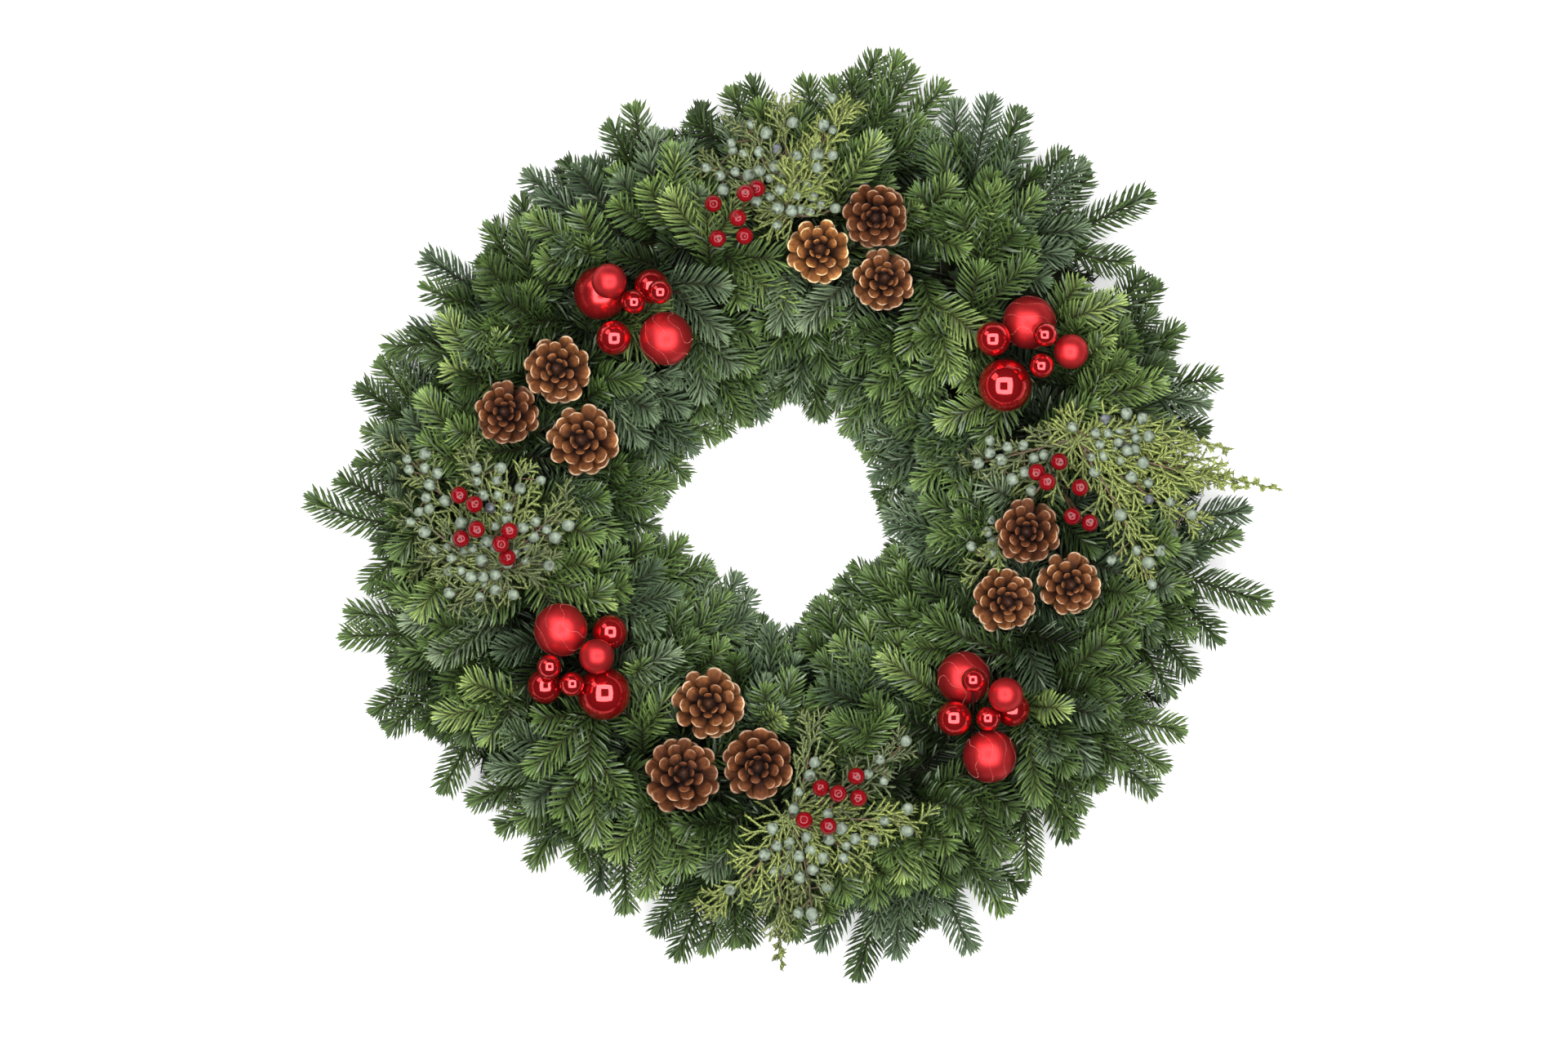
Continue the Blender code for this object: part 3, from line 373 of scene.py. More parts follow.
def juniper_cover():
    """Low balls along the juniper's strands, for the fir to pass under."""
    ends = [(np.array(head), np.array(end)) for _, head, strands in JUNIPERS.values()
            for end, _, _ in strands]
    lines = np.vstack([bend(head, (head + end) / 2 + UP * JUNIPER_RISE, end, 8)[1:-1]
                       for head, end in ends])
    return np.column_stack([lines - UP * 2.0, np.full(len(lines), COVER_RADIUS)])


# What foliage keeps clear of: x, y, z and radius
DECORATIONS = np.array(
    [(x, y, z, radius + 0.8) for x, y, z, radius, _ in BAUBLES.values()]
    + [(x, y, CONE_BELT, radius * 0.96) for x, y, radius, _, _ in CONES.values()]
    + [(*berry, BERRY_RADIUS + 0.5) for _, berries in BERRY_SPRIGS.values() for berry in berries]
)
COVERS = np.vstack([DECORATIONS, juniper_cover()])
# The lowest that the middle of a twig may be, and the tip of a needle
LOWEST_TWIG, LOWEST_TIP = 7.0, 1.0
# How far foliage may hang over a decoration's outline
OVERHANG = 2.5


def clear_of_decorations(points, spare=0.0):
    """Which points are neither in a decoration nor right over one."""
    offset = points[:, None] - DECORATIONS[None, :, :3]
    radius = DECORATIONS[None, :, 3] + spare
    inside = np.linalg.norm(offset, axis=2) < radius
    level = np.linalg.norm(offset[:, :, :2], axis=2)
    over = (level < radius - OVERHANG) & (offset[:, :, 2] > 0)
    return ~(inside | over).any(1)


def under_decorations(path, spare, covers=COVERS):
    """The path, pressed down where it would pass through or over a decoration."""
    level = np.linalg.norm(path[:, None, :2] - covers[None, :, :2], axis=2)
    reach = covers[None, :, 3] + spare
    drop = np.sqrt(np.maximum(reach ** 2 - level ** 2, 0.0))
    ceiling = np.where(level < reach, covers[None, :, 2] - drop, np.inf).min(1)
    z = np.maximum(np.minimum(path[:, 2], ceiling), LOWEST_TWIG)
    z[1:-1] = (z[:-2] + 2 * z[1:-1] + z[2:]) / 4
    return np.column_stack([path[:, :2], z])


def shaded(points):
    """How much painted shade darkens the inner needles, deep and low in the wreath's body."""
    distance = np.linalg.norm((points - RING_CENTRE)[:, :2], axis=1)
    within = step(95, 120, distance) * (1 - step(270, 300, distance))
    return 0.92 * within * (1 - step(22, 70, points[:, 2]))


# Where round the twig the needles stand, in degrees from its top: four ranks on each side
RANKS = np.array([96, -82, 56, -28, 84, -96, 28, -58], float)
TIP_NEEDLES = 16
TWIG_RADIUS = 1.25


def finger(shape, path, rng, tint, needle=18.5, spacing=0.74, width=1.9, pale=0.4, bare=0.0,
           group=TOPS, plain=False):
    """A twig with needles in ranks at its sides and on top, and a rounded tuft at its tip."""
    lengths = lengths_along(path)
    total = lengths[-1]
    count = max(int((total - bare) / spacing), 4)
    mark = np.linspace(bare, total - 1.0, count) + rng.uniform(-0.2, 0.2, count)
    turn = RANKS[np.arange(count) % 8] + rng.normal(0, 5, count)
    share = (mark - bare) / (total - bare)
    lean = 33 + 6 * share + rng.normal(0, 2.5, count)
    lean = lean + (50 - lean) * step(0.80, 1.0, share) * 0.7
    length = needle * rng.uniform(0.94, 1.05, count) * (1 - 0.16 * step(0.80, 1.0, share))
    length *= 0.72 + 0.28 * step(0.0, 0.10, share)

    mark = np.append(mark, total + rng.uniform(-1.6, 0.4, TIP_NEEDLES))
    share = np.append(share, np.ones(TIP_NEEDLES))
    turn = np.radians(np.append(turn, rng.uniform(-125, 125, TIP_NEEDLES)))
    lean = np.append(lean, rng.uniform(50, 86, TIP_NEEDLES))
    length = np.append(length, needle * rng.uniform(0.62, 0.76, TIP_NEEDLES))
    count += TIP_NEEDLES

    topmost = np.maximum(np.cos(turn), 0.0)
    lean = np.radians(np.minimum(lean + 16 * topmost, 88))
    length *= 1 - 0.12 * topmost
    spot, way, side = spots_on(path, mark)
    start = turned(turned(np.cross(way, side), side, turn), way, lean)
    finish = unit(start + way * rng.uniform(0.12, 0.34, count)[:, None] + UP * 0.16)
    base = spot + start * (TWIG_RADIUS * 0.6 * (1 - 0.45 * share))[:, None]
    face = way * 0.55 + UP * 0.8 + rng.normal(0, 0.10, (count, 3))
    middle, tip = bent(base, start, finish, length)
    low = tip[:, 2] < LOWEST_TIP
    tip[:, 2] = np.maximum(tip[:, 2], LOWEST_TIP)
    finish = np.where(low[:, None], unit(tip - middle), finish)
    keep = clear_of_decorations(tip) & clear_of_decorations(middle)

    # Painted light: needles on top of the twig take a lighter tint, those underneath a darker one.
    own = tint + 0.07 * step(0.6, 1.0, share) + rng.normal(0, 0.08, count) + 0.05 * np.cos(turn)
    # Painted shade: needles deep and low in the wreath take darker columns.
    columns = column_of(group, np.clip(own * (1 - shaded(tip)), 0, 0.999))
    flipped = rng.uniform(0, 1, count) < 0.16 * pale
    unders = column_of(UNDERS, np.clip(pale + rng.normal(0, 0.15, count), 0, 0.999))
    columns = np.where(flipped, unders, columns)
    widths = width * rng.uniform(0.90, 1.08, count)
    needles(shape, *(part[keep] for part in (base, start, finish, face, length, widths, columns)),
            plain)
    tube(shape, path, TWIG_RADIUS * (1 - 0.5 * lengths / total),
         column_of(BARK, rng.uniform()), COLUMNS, sides=4)


def top_group(rng):
    """The colours of a spray: every fourth one or so is greyer."""
    return GREYS if rng.uniform() < 0.24 else TOPS


def frond(shape, root, tip, lift, rng, tint, needled, back, reach, swing=0.0, heading=None,
          **style):
    """A branch: a main twig whose outer part has needles, with a pair of side twigs.

    The side twigs leave it this far back from its tip, and reach this far.
    """
    middle = (root + tip) / 2 + rotated(unit(tip - root), 90) * swing + UP * lift
    if heading is not None:
        middle = tip - radial(heading) * 70 + UP * lift
    axis = under_decorations(bend(root, middle, tip, 22), 10.0)
    if "group" not in style:
        style["group"] = top_group(rng)
    total = lengths_along(axis)[-1]
    finger(shape, axis, rng, tint, bare=max(total - needled, 0.0), **style)
    for hand in (-1, 1):
        mark = total - back + rng.uniform(-4, 4)
        if mark < 5:
            continue
        foot, way, _ = spots_on(axis, mark)
        own = reach * rng.uniform(0.85, 1.12)
        spread = hand * rng.uniform(40, 50)
        end = foot + rotated(way, spread * 0.80) * own + UP * rng.uniform(-8, 3)
        control = foot + rotated(way, spread) * own * 0.5 + UP * rng.uniform(-3, 2)
        path = under_decorations(bend(foot, control, end, 9), 9.0)
        finger(shape, path, rng, tint + rng.uniform(-0.12, 0.10), **style)


def hole_radius(angle):
    """How far the foliage reaches in at this angle, from the ring's centre."""
    return np.interp(angle, *np.array(HOLE_EDGE).T, period=360)


def away_from(first, second):
    """The angle between two directions, in degrees."""
    return abs((first - second + 180) % 360 - 180)


# How far a notch reaches to each side, in degrees, and how far inside it a twig's tip stays
NOTCH_REACH, NOTCH_SPARE = 4, 14


def within_notches(angle, distance):
    """The distance, cut back where the outer edge has a notch at this angle."""
    near = [edge for notch, edge in NOTCHES if away_from(angle, notch) < NOTCH_REACH]
    return min([distance] + [edge - NOTCH_SPARE for edge in near])


MAT_ROWS, MAT_COLUMNS = 20, 14
MAT_NEEDLES = 1300
# How far the mat reaches to each side, in degrees, and from how far outside the hole's edge to
# what distance from the ring's centre
MAT_SPAN, MAT_INSET, MAT_EDGE = 15.6, 38, 276
# The height of its upper side at the rim, and how much its middle rises over that
MAT_RIM, MAT_CROWN = 14, 13


def add_mat(shape, angle, rng):
    """The bunch's dense middle: a rough pad standing for its crossed twigs, near black as painted
    shade, with short needles on it in the darkest greens, also painted shade.
    """
    turns = angle + np.linspace(-MAT_SPAN, MAT_SPAN, MAT_COLUMNS)
    reach = rng.uniform(-7, 7, MAT_COLUMNS)
    share = np.linspace(0, 1, MAT_ROWS)[:, None]
    inner = hole_radius(turns) + MAT_INSET - reach * 0.5
    distance = inner + (MAT_EDGE + reach - inner) * share
    over_ring = np.exp(-((distance - RING_RADIUS) / 14) ** 2)
    crown = MAT_CROWN * np.sqrt(np.sin(np.pi * share)) * (1 - 0.55 * over_ring)
    rough = rng.normal(0, 1.6, (MAT_COLUMNS, MAT_ROWS)).T * ((share > 0) & (share < 1))
    top = polar(turns, distance, MAT_RIM + crown + rough)
    low = top.copy()
    low[..., 2] = np.maximum(26 - low[..., 2], 8.0)
    faces = halved(squares(2 * MAT_ROWS, MAT_COLUMNS, (True, False))[0])
    u = (column_of(MAT, rng.uniform(0, 1, len(faces))) + 0.5) / COLUMNS
    v = rng.uniform(0.0, 0.3, len(faces))
    corners = np.array([(-0.4, 0.0), (0.4, 0.0), (0.0, 0.1)]) * (1 / COLUMNS, 1.0)
    shape.add(np.concatenate([top, low[::-1]]).reshape(-1, 3), faces,
              np.stack([u, v], 1)[:, None] + corners[None], 1)
    count = MAT_NEEDLES
    spot = top.reshape(-1, 3)[rng.integers(0, MAT_ROWS * MAT_COLUMNS, count)]
    spot = spot + np.column_stack([rng.normal(0, 4, (count, 2)), np.full(count, -1.5)])
    way = unit(np.column_stack([rng.normal(0, 1, (count, 2)), rng.uniform(0.1, 0.9, count)]))
    # Painted shade: the mat's needles take the darkest greens.
    needles(shape, spot, way, way, np.tile(UP, (count, 1)), rng.uniform(12, 17, count),
            np.full(count, 2.2), column_of(TOPS, rng.uniform(0.0, 0.14, count)), True)


CELL, CELLS = 6.0, 120
# A cell is dense when foliage in it is over this height, and so many of nine cells are enough
DENSE_HEIGHT, DENSE_CELLS = 38, 5
FILLED_HEIGHT = 45
FILL_DISTANCES = range(112, 284, 10)


def cell_of(points):
    """Which cell of a square grid over the wreath each point is in."""
    return ((points[..., :2] + CELL * CELLS / 2) / CELL).astype(int).clip(0, CELLS - 1).T


def fill_gaps(shape, angle, rng):
    """Short sprays wherever the bunch still lets its dark middle show."""
    heights = np.zeros((CELLS, CELLS))
    points = np.concatenate(shape.points)
    np.maximum.at(heights, tuple(cell_of(points)), points[:, 2])
    spots = [polar(angle + turn, distance) for distance in FILL_DISTANCES
             for turn in np.arange(-13.5, 14, 570 / distance)
             if distance > hole_radius(angle + turn) + 24]
    rng.shuffle(spots)
    for spot in spots:
        level = np.linalg.norm(DECORATIONS[:, :2] - spot[:2], axis=1)
        i, j = cell_of(spot)
        near = heights[i - 1:i + 2, j - 1:j + 2]
        if (level < DECORATIONS[:, 3] - 2).any() or (near > DENSE_HEIGHT).sum() >= DENSE_CELLS:
            continue
        side_on = 1 if np.linalg.norm(spot - RING_CENTRE) > 200 else -1
        way = rotated(unit(spot - RING_CENTRE) * side_on, rng.uniform(-45, 45))
        tip = spot + way * 16 + UP * rng.uniform(44, 56)
        path = bend(spot - way * 34 + UP * 18, spot - way * 8 + UP * 44, tip, 10)
        finger(shape, under_decorations(path, 8.0), rng, rng.uniform(0.02, 0.3),
               pale=rng.uniform(0.2, 0.7), group=top_group(rng))
        near[:] = FILLED_HEIGHT


# The looks of the branches low down, dark as painted shade
LOW = dict(spacing=1.0, width=2.4, pale=0.2, group=TOPS, plain=True)
# The butt of a bunch: distance outward from the ring's wire, height over it, and radius
BUTT = [(-64, 14, 3.0), (-42, 9, 5.0), (-11, 0, 6.2), (11, 0, 6.2), (42, 8, 5.0), (68, 12, 3.0)]


def grow(shape, rng, root, tip, lift, tints, needled, back, reach, swing=0, pales=(0.2, 0.7),
         **style):
    """A branch whose tint, swing and paleness are drawn from these ranges."""
    tint = rng.uniform(*tints)
    if swing:
        style["swing"] = rng.uniform(-swing, swing)
    frond(shape, root, tip, lift, rng, tint, needled, back, reach, pale=rng.uniform(*pales),
          **style)


def low_layer(shape, rng, angle, outer, inner):
    """What shows in the gaps and from below, and round the ring between the clamps."""
    # Painted shade: all these low branches take dark tints.
    for turn in (-12, -4, 4, 12):
        tip = polar(angle + turn, within_notches(angle + turn, 290), 16)
        frond(shape, outer, tip, 0, rng, 0.08, 84, 24, 30, **LOW)
        tip = polar(angle + turn, hole_radius(angle + turn) + 28, 16)
        frond(shape, inner, tip, 0, rng, 0.08, 60, 24, 26, needle=16, **LOW)
    for turn, distance, aside in ((-12, 200, 70), (8, 208, 100)):
        foot = polar(angle + turn, distance, 20)
        way = rotated(radial(angle + turn), aside + rng.uniform(-20, 20))
        grow(shape, rng, foot - way * 14, foot + way * 42 + UP * 12, 8, (0.0, 0.22), 56, 26, 30,
             pales=(0.2, 0.6), spacing=0.8)


def outer_layers(shape, rng, angle, root, tips):
    """The outer edge, and lighter branches over it, as painted light."""
    for tip_angle, distance, height, *heading in tips:
        grow(shape, rng, root, polar(tip_angle, distance - 12, height), 12, (0.18, 0.5),
             88, 78, 54, 6, heading=heading[0] if heading else None)
    for turn, distance, height in ((-11, 280, 50), (-4, 292, 52), (4, 278, 56), (11, 290, 52)):
        own = angle + turn + rng.uniform(-2, 2)
        tip = polar(own, within_notches(own, distance + rng.uniform(-10, 8)), height)
        grow(shape, rng, root, tip, 26, (0.22, 0.62), 82, 58, 50, 10, (0.2, 0.8))


def inner_layers(shape, rng, angle, root):
    """A spray to each tip that shows in the hole's outline, some between, and some over them."""
    tips = [(tip, radius + 6, 34) for tip, radius in HOLE_TIPS if away_from(tip, angle) < 15]
    tips += [(angle + turn, hole_radius(angle + turn) + 8, height)
             for turn, height in ((-11, 26), (0, 40), (11, 26))]
    for tip_angle, distance, height in tips:
        tip = polar(tip_angle, distance, height + rng.uniform(-3, 3))
        grow(shape, rng, root, tip, 18, (0.2, 0.55), 66, 46, 36, 8, needle=16.5)
    for turn, extra in ((-10, 38), (0, 46), (10, 38)):
        edge = hole_radius(angle + turn)
        tip = polar(angle + turn + rng.uniform(-3, 3), edge + extra, 56)
        grow(shape, rng, root, tip, 26, (0.25, 0.62), 60, 42, 36, 10, (0.2, 0.8), needle=17)


def top_layer(shape, rng, angle):
    """Branches on top, which lie this way and that."""
    for turn, distance in ((-12, 178), (-3, 240), (4, 182), (12, 244), (-8, 214)):
        side_on = math.copysign(1, distance - 205)
        foot = polar(angle + turn, distance - 14 * side_on, 44)
        way = rotated(radial(angle + turn), rng.uniform(-55, 55)) * side_on
        tip = foot + way * rng.uniform(52, 64)
        tip[2] = rng.uniform(64, 72)
        # Painted light: the branches on top take the lightest tints.
        grow(shape, rng, foot - way * 22 - UP * 24, tip, 16, (0.38, 0.86), 82, 60, 46,
             pales=(0.3, 0.9))


def make_bunch(index, angle, materials):
    """One clamp's bunch of fir, in layers: dark ones low down as painted shade, and lighter ones on
    top as painted light.
    """
    rng = np.random.default_rng(100 + index)
    shape = Shape()
    butt = np.array([polar(angle, RING_RADIUS + out, BUTT_HEIGHT + rise) for out, rise, _ in BUTT])
    tube(shape, butt, [radius for _, _, radius in BUTT], column_of(BARK, 0.2), COLUMNS, sides=8)
    outer, inner = (polar(angle, RING_RADIUS + out, BUTT_HEIGHT + 1) for out in (14, -14))
    add_mat(shape, angle, rng)
    low_layer(shape, rng, angle, outer, inner)
    outer_layers(shape, rng, angle, outer, OUTER_TIPS[index])
    inner_layers(shape, rng, angle, inner)
    top_layer(shape, rng, angle)
    fill_gaps(shape, angle, rng)
    shape.piece(f"fir_bunch_{index + 1:02d}", materials, "fir")


# Materials

def add_node(tree, kind, inputs, **choices):
    """The outputs of a new node, whose inputs are numbers or other nodes' outputs."""
    node = tree.nodes.new("ShaderNode" + kind)
    for name, choice in choices.items():
        setattr(node, name, choice)
    for name, value in inputs.items():
        if isinstance(value, bpy.types.NodeSocket):
            tree.links.new(value, node.inputs[name])
        else:
            node.inputs[name].default_value = value
    return node.outputs


def ramp(tree, source, stops, kind="LINEAR"):
    """Colours along a number. A stop's colour may be one number, for a grey."""
    colour = add_node(tree, "ValToRGB", {"Fac": source})["Color"]
    elements = colour.node.color_ramp.elements
    colour.node.color_ramp.interpolation = kind
    elements.remove(elements[-1])
    for index, (position, shade) in enumerate(stops):
        element = elements.new(position) if index else elements[0]
        element.position = position
        element.color = (*(shade if isinstance(shade, tuple) else (shade,) * 3), 1)
    return colour


class Finish:
    """A material whose patterns lie on the colour map, or else in the piece's own space."""

    def __init__(self, name, settings, on_map=True):
        self.material = bpy.data.materials.new(name)
        self.material.use_nodes = True
        self.tree = self.material.node_tree
        self.shader = self.tree.nodes["Principled BSDF"]
        for setting, value in settings.items():
            self.shader.inputs[setting].default_value = value
        if on_map:
            self.place = add_node(self.tree, "UVMap", {}, uv_map=MAP_NAME)["UV"]
            split = add_node(self.tree, "SeparateXYZ", {0: self.place})
            self.across, self.along = split["X"], split["Y"]
        else:
            self.place = add_node(self.tree, "TexCoord", {})["Object"]

    def ramp(self, source, stops, kind="LINEAR"):
        return ramp(self.tree, source, stops, kind)

    def noise(self, scale, detail=3.0):
        return add_node(self.tree, "TexNoise", {"Vector": self.place, "Scale": scale,
                                                "Detail": detail})["Fac"]

    def map_noise(self, across, along, detail=3.0):
        """Noise on the colour map, with its own scale across it and along it."""
        place = add_node(self.tree, "Mapping", {"Vector": self.place,
                                                "Scale": (across, along, 1.0)})["Vector"]
        return add_node(self.tree, "TexNoise", {"Vector": place, "Scale": 1.0, "Detail": detail},
                        noise_dimensions="2D")["Fac"]

    def spread(self, source, low, high):
        """Takes a number from 0 to 1 on to a number from low to high."""
        return add_node(self.tree, "MapRange", {"Value": source, "To Min": low,
                                                "To Max": high})["Result"]

    def paint(self, layers, rough, low, high):
        """The layers multiplied for the colour, and a pattern for the roughness."""
        colour = layers[0]
        for layer in layers[1:]:
            colour = add_node(self.tree, "Mix", {0: 1.0, 6: colour, 7: layer},
                              data_type="RGBA", blend_type="MULTIPLY")[2]
        self.tree.links.new(colour, self.shader.inputs["Base Color"])
        self.tree.links.new(self.spread(rough, low, high), self.shader.inputs["Roughness"])

    def bump(self, height, strength, distance):
        normal = add_node(self.tree, "Bump", {"Strength": strength, "Distance": distance,
                                              "Height": height})["Normal"]
        self.tree.links.new(normal, self.shader.inputs["Normal"])


def fir_material():
    fir = Finish("fir_needles", {"Specular IOR Level": 0.20})
    greys, unders, bark = (group[0] / COLUMNS for group in (GREYS, UNDERS, BARK))
    colour = fir.ramp(fir.across, [
        (0.0, (0.004, 0.009, 0.002)), (greys * 0.22, (0.018, 0.036, 0.008)),
        (greys * 0.48, (0.050, 0.087, 0.023)), (greys * 0.74, (0.102, 0.162, 0.044)),
        (greys - 0.004, (0.220, 0.290, 0.092)),
        (greys + 0.001, (0.016, 0.031, 0.014)), (greys + 0.09, (0.056, 0.090, 0.045)),
        (unders - 0.004, (0.16, 0.21, 0.125)),
        (unders + 0.001, (0.045, 0.072, 0.034)), (bark - 0.004, (0.16, 0.21, 0.135)),
        (bark + 0.001, (0.018, 0.020, 0.007)), (1.0, (0.042, 0.040, 0.016))])
    # Painted shade towards each needle's root, and lighter towards its tip.
    shade = fir.ramp(fir.along, [(0.0, (0.20, 0.18, 0.15)), (0.25, (0.68, 0.67, 0.64)),
                                 (0.70, 1.0), (1.0, (1.22, 1.18, 1.04))])
    # Painted light across each needle: a painted highlight along its middle and painted shade at
    # its edges.
    within = add_node(fir.tree, "Math", {0: fir.across, 1: 0.5 / COLUMNS},
                      operation="PINGPONG")[0]
    ridge = fir.ramp(fir.spread(within, 0.0, COLUMNS * 2.0),
                     [(0.18, (0.36, 0.34, 0.32)), (0.55, 0.92), (1.0, 1.3)])
    grain = fir.map_noise(140.0, 9.0)
    tone = fir.ramp(grain, [(0.3, 0.78), (0.7, 1.16)])
    fir.paint([colour, shade, tone, ridge], fir.map_noise(64.0, 5.0), 0.36, 0.56)
    fir.bump(grain, 0.15, 0.0003)
    return fir.material


def shade_material():
    """Painted shade: the near-black middle of a bunch, where its wood and needles lie in shadow."""
    wood = Finish("fir_shade", {"Specular IOR Level": 0.05})
    patch = wood.map_noise(70.0, 14.0, 4.0)
    colour = wood.ramp(patch, [(0.3, (0.004, 0.006, 0.003)), (0.7, (0.016, 0.016, 0.008))])
    wood.paint([colour], patch, 0.85, 1.0)
    return wood.material


# From the foot of a scale to its rim: near black at the foot as painted shade deep between the
# scales, up to the scale's own pale rim
CONE_SHADES = [(0.0, (0.005, 0.002, 0.001)), (0.34, (0.018, 0.006, 0.003)),
               (0.55, (0.075, 0.024, 0.007)), (0.84, (0.190, 0.068, 0.020)),
               (0.945, (0.23, 0.095, 0.034)), (0.962, (0.44, 0.30, 0.19)),
               (1.0, (0.56, 0.42, 0.29))]


def cone_material(name, tone):
    """Woody scales, with a light rim. The tone makes all of it darker or more tan."""
    wood = Finish(name, {"Specular IOR Level": 0.25})
    colour = wood.ramp(wood.along, [
        (at, tuple(min(c * t, 1.0) for c, t in zip(shade, tone))) for at, shade in CONE_SHADES])
    under = wood.ramp(wood.across, [(0.0, 1.0), (0.75, (0.42, 0.38, 0.35))], "CONSTANT")
    grain = wood.map_noise(90.0, 3.0, 4.0)
    streaks = wood.ramp(grain, [(0.25, (0.55, 0.50, 0.46)), (0.75, (1.3, 1.28, 1.25))])
    blotches = wood.ramp(wood.map_noise(11.0, 2.5, 2.0), [(0.3, (0.66, 0.62, 0.60)), (0.7, 1.15)])
    wood.paint([colour, under, streaks, blotches], grain, 0.50, 0.78)
    wood.bump(grain, 0.4, 0.0006)
    return wood.material


def red_material(name, colour, roughness, metallic, coat, specular=0.5):
    """Red lacquer, in any finish, with faint unevenness in the coat."""
    red = Finish(name, {"Metallic": metallic, "Coat Weight": coat, "Coat Roughness": 0.03,
                        "Specular IOR Level": specular}, on_map=False)
    deep = tuple(c * 0.72 for c in colour)
    fine = red.noise(900.0, 2.0)
    red.paint([red.ramp(red.noise(26.0, 2.0), [(0.3, deep), (0.7, colour)])],
              fine, roughness * 0.8, roughness * 1.25)
    red.bump(fine, 0.05 + roughness * 0.25, 0.0002)
    return red.material


def plain_material(name, dark, light, roughness, metallic=0.0):
    """Small parts: a cloudy colour between dark and light."""
    plain = Finish(name, {"Metallic": metallic}, on_map=False)
    cloud = plain.noise(120.0, 4.0)
    plain.paint([plain.ramp(cloud, [(0.3, dark), (0.7, light)])],
                cloud, roughness * 0.8, roughness * 1.2)
    plain.bump(cloud, 0.3, 0.0003)
    return plain.material


def juniper_material():
    leaf = Finish("juniper_leaves", {})
    tops, bark = LEAVES / COLUMNS, BARK[0] / COLUMNS
    colour = leaf.ramp(leaf.across, [
        (0.0, (0.036, 0.054, 0.024)), (tops * 0.35, (0.098, 0.122, 0.050)),
        (tops * 0.7, (0.162, 0.205, 0.058)), (tops, (0.27, 0.33, 0.085)),
        (bark - 0.01, (0.27, 0.33, 0.085)), (bark, (0.06, 0.03, 0.015)),
        (1.0, (0.24, 0.13, 0.07))])
    # Painted shade towards each leaf's root, and lighter towards its tip.
    shade = leaf.ramp(leaf.along, [(0.0, (0.46, 0.45, 0.40)), (0.6, 1.0), (1.0, (1.25, 1.2, 1.0))])
    grain = leaf.map_noise(120.0, 7.0)
    leaf.paint([colour, shade, leaf.ramp(grain, [(0.3, 0.85), (0.7, 1.1)])], grain, 0.45, 0.65)
    return leaf.material


def bloom_material(name, dark, light, wide):
    """A berry's skin under a patchy pale bloom, on a part of the map that is this wide."""
    skin = Finish(name, {})
    patch = skin.map_noise(5.0 / wide, 4.0, 5.0)
    palest = tuple(min(c * 1.35, 1.0) for c in light)
    colour = skin.ramp(patch, [(0.30, dark), (0.55, light), (0.75, palest)])
    end = skin.ramp(skin.along, [(0.0, (0.35, 0.33, 0.3)), (0.10, 1.0), (1.0, 1.0)])
    skin.paint([colour, end], patch, 0.5, 0.75)
    return skin.material


# Pine cones

# Stations along a scale, and a cross-section there: across it, and its upper or lower side
SCALE_ROWS = np.array([0.0, 0.30, 0.60, 0.82, 0.93, 0.985])
SCALE_ACROSS, SCALE_SIDE = np.array([
    (-1, 0), (-0.55, 1), (0, 1), (0.55, 1), (1, 0), (0.55, -1), (0, -1), (-0.55, -1)]).T
# It broadens up to its shoulder and is rounded past it
SHOULDER = 0.72
SCALE_BROAD = (0.36 + 0.64 * np.sin(np.minimum(SCALE_ROWS / SHOULDER, 1.0) * np.pi / 2)) * np.sqrt(
    np.maximum(1 - (np.maximum(SCALE_ROWS - SHOULDER, 0.0) / 0.29) ** 2, 0.05))
SCALE_DEPTH = (0.35 + 0.65 * SCALE_ROWS ** 2) * np.where(SCALE_ROWS > 0.95, 0.6, 1.0)
SCALE_FACES, ROUND_SCALE, UP_SCALE = pointed_tube(len(SCALE_ROWS), len(SCALE_ACROSS))
SCALE_CURL = 0.06
SCALE_TURN_UP = math.radians(10.0)
# The number of scales at tone 0, and how many fewer there are at tone 1
CONE_SCALES, FEWER_SCALES = 44, 12
# How far the scales reach out, of the cone's radius, from the lowest to the topmost
CONE_SHARES = (0.0, 0.15, 0.30, 0.45, 0.62, 0.78, 0.90, 1.0)
CONE_SWELL = (0.74, 0.92, 1.0, 0.94, 0.76, 0.54, 0.34, 0.16)
CORE_RADII = np.array((0.18, 0.28, 0.32, 0.32, 0.30, 0.26, 0.20, 0.14, 0.08))
# The angle from each scale to the next one up, in radians
GOLDEN_ANGLE = 2.399963


def scale_places(tone):
    """A scale's places on the cones' map: a column by tone on top, and one of two below."""
    under = ROUND_SCALE[:, :1] >= 4
    column = np.where(under, 6 + tone % 2, tone) + 0.08 + 0.21 * (ROUND_SCALE - 4 * under)
    levels = np.append(SCALE_ROWS, 1.0)
    edge = SCALE_ACROSS[ROUND_SCALE.astype(int) % 8]
    rim = 0.16 * edge ** 2 * levels[UP_SCALE[:, :1]] * ~under
    most = np.where(UP_SCALE == UP_SCALE[:, :1], 0.99, 1.0)
    return np.stack([column / 8, np.minimum(levels[UP_SCALE] + rim, most)], -1)


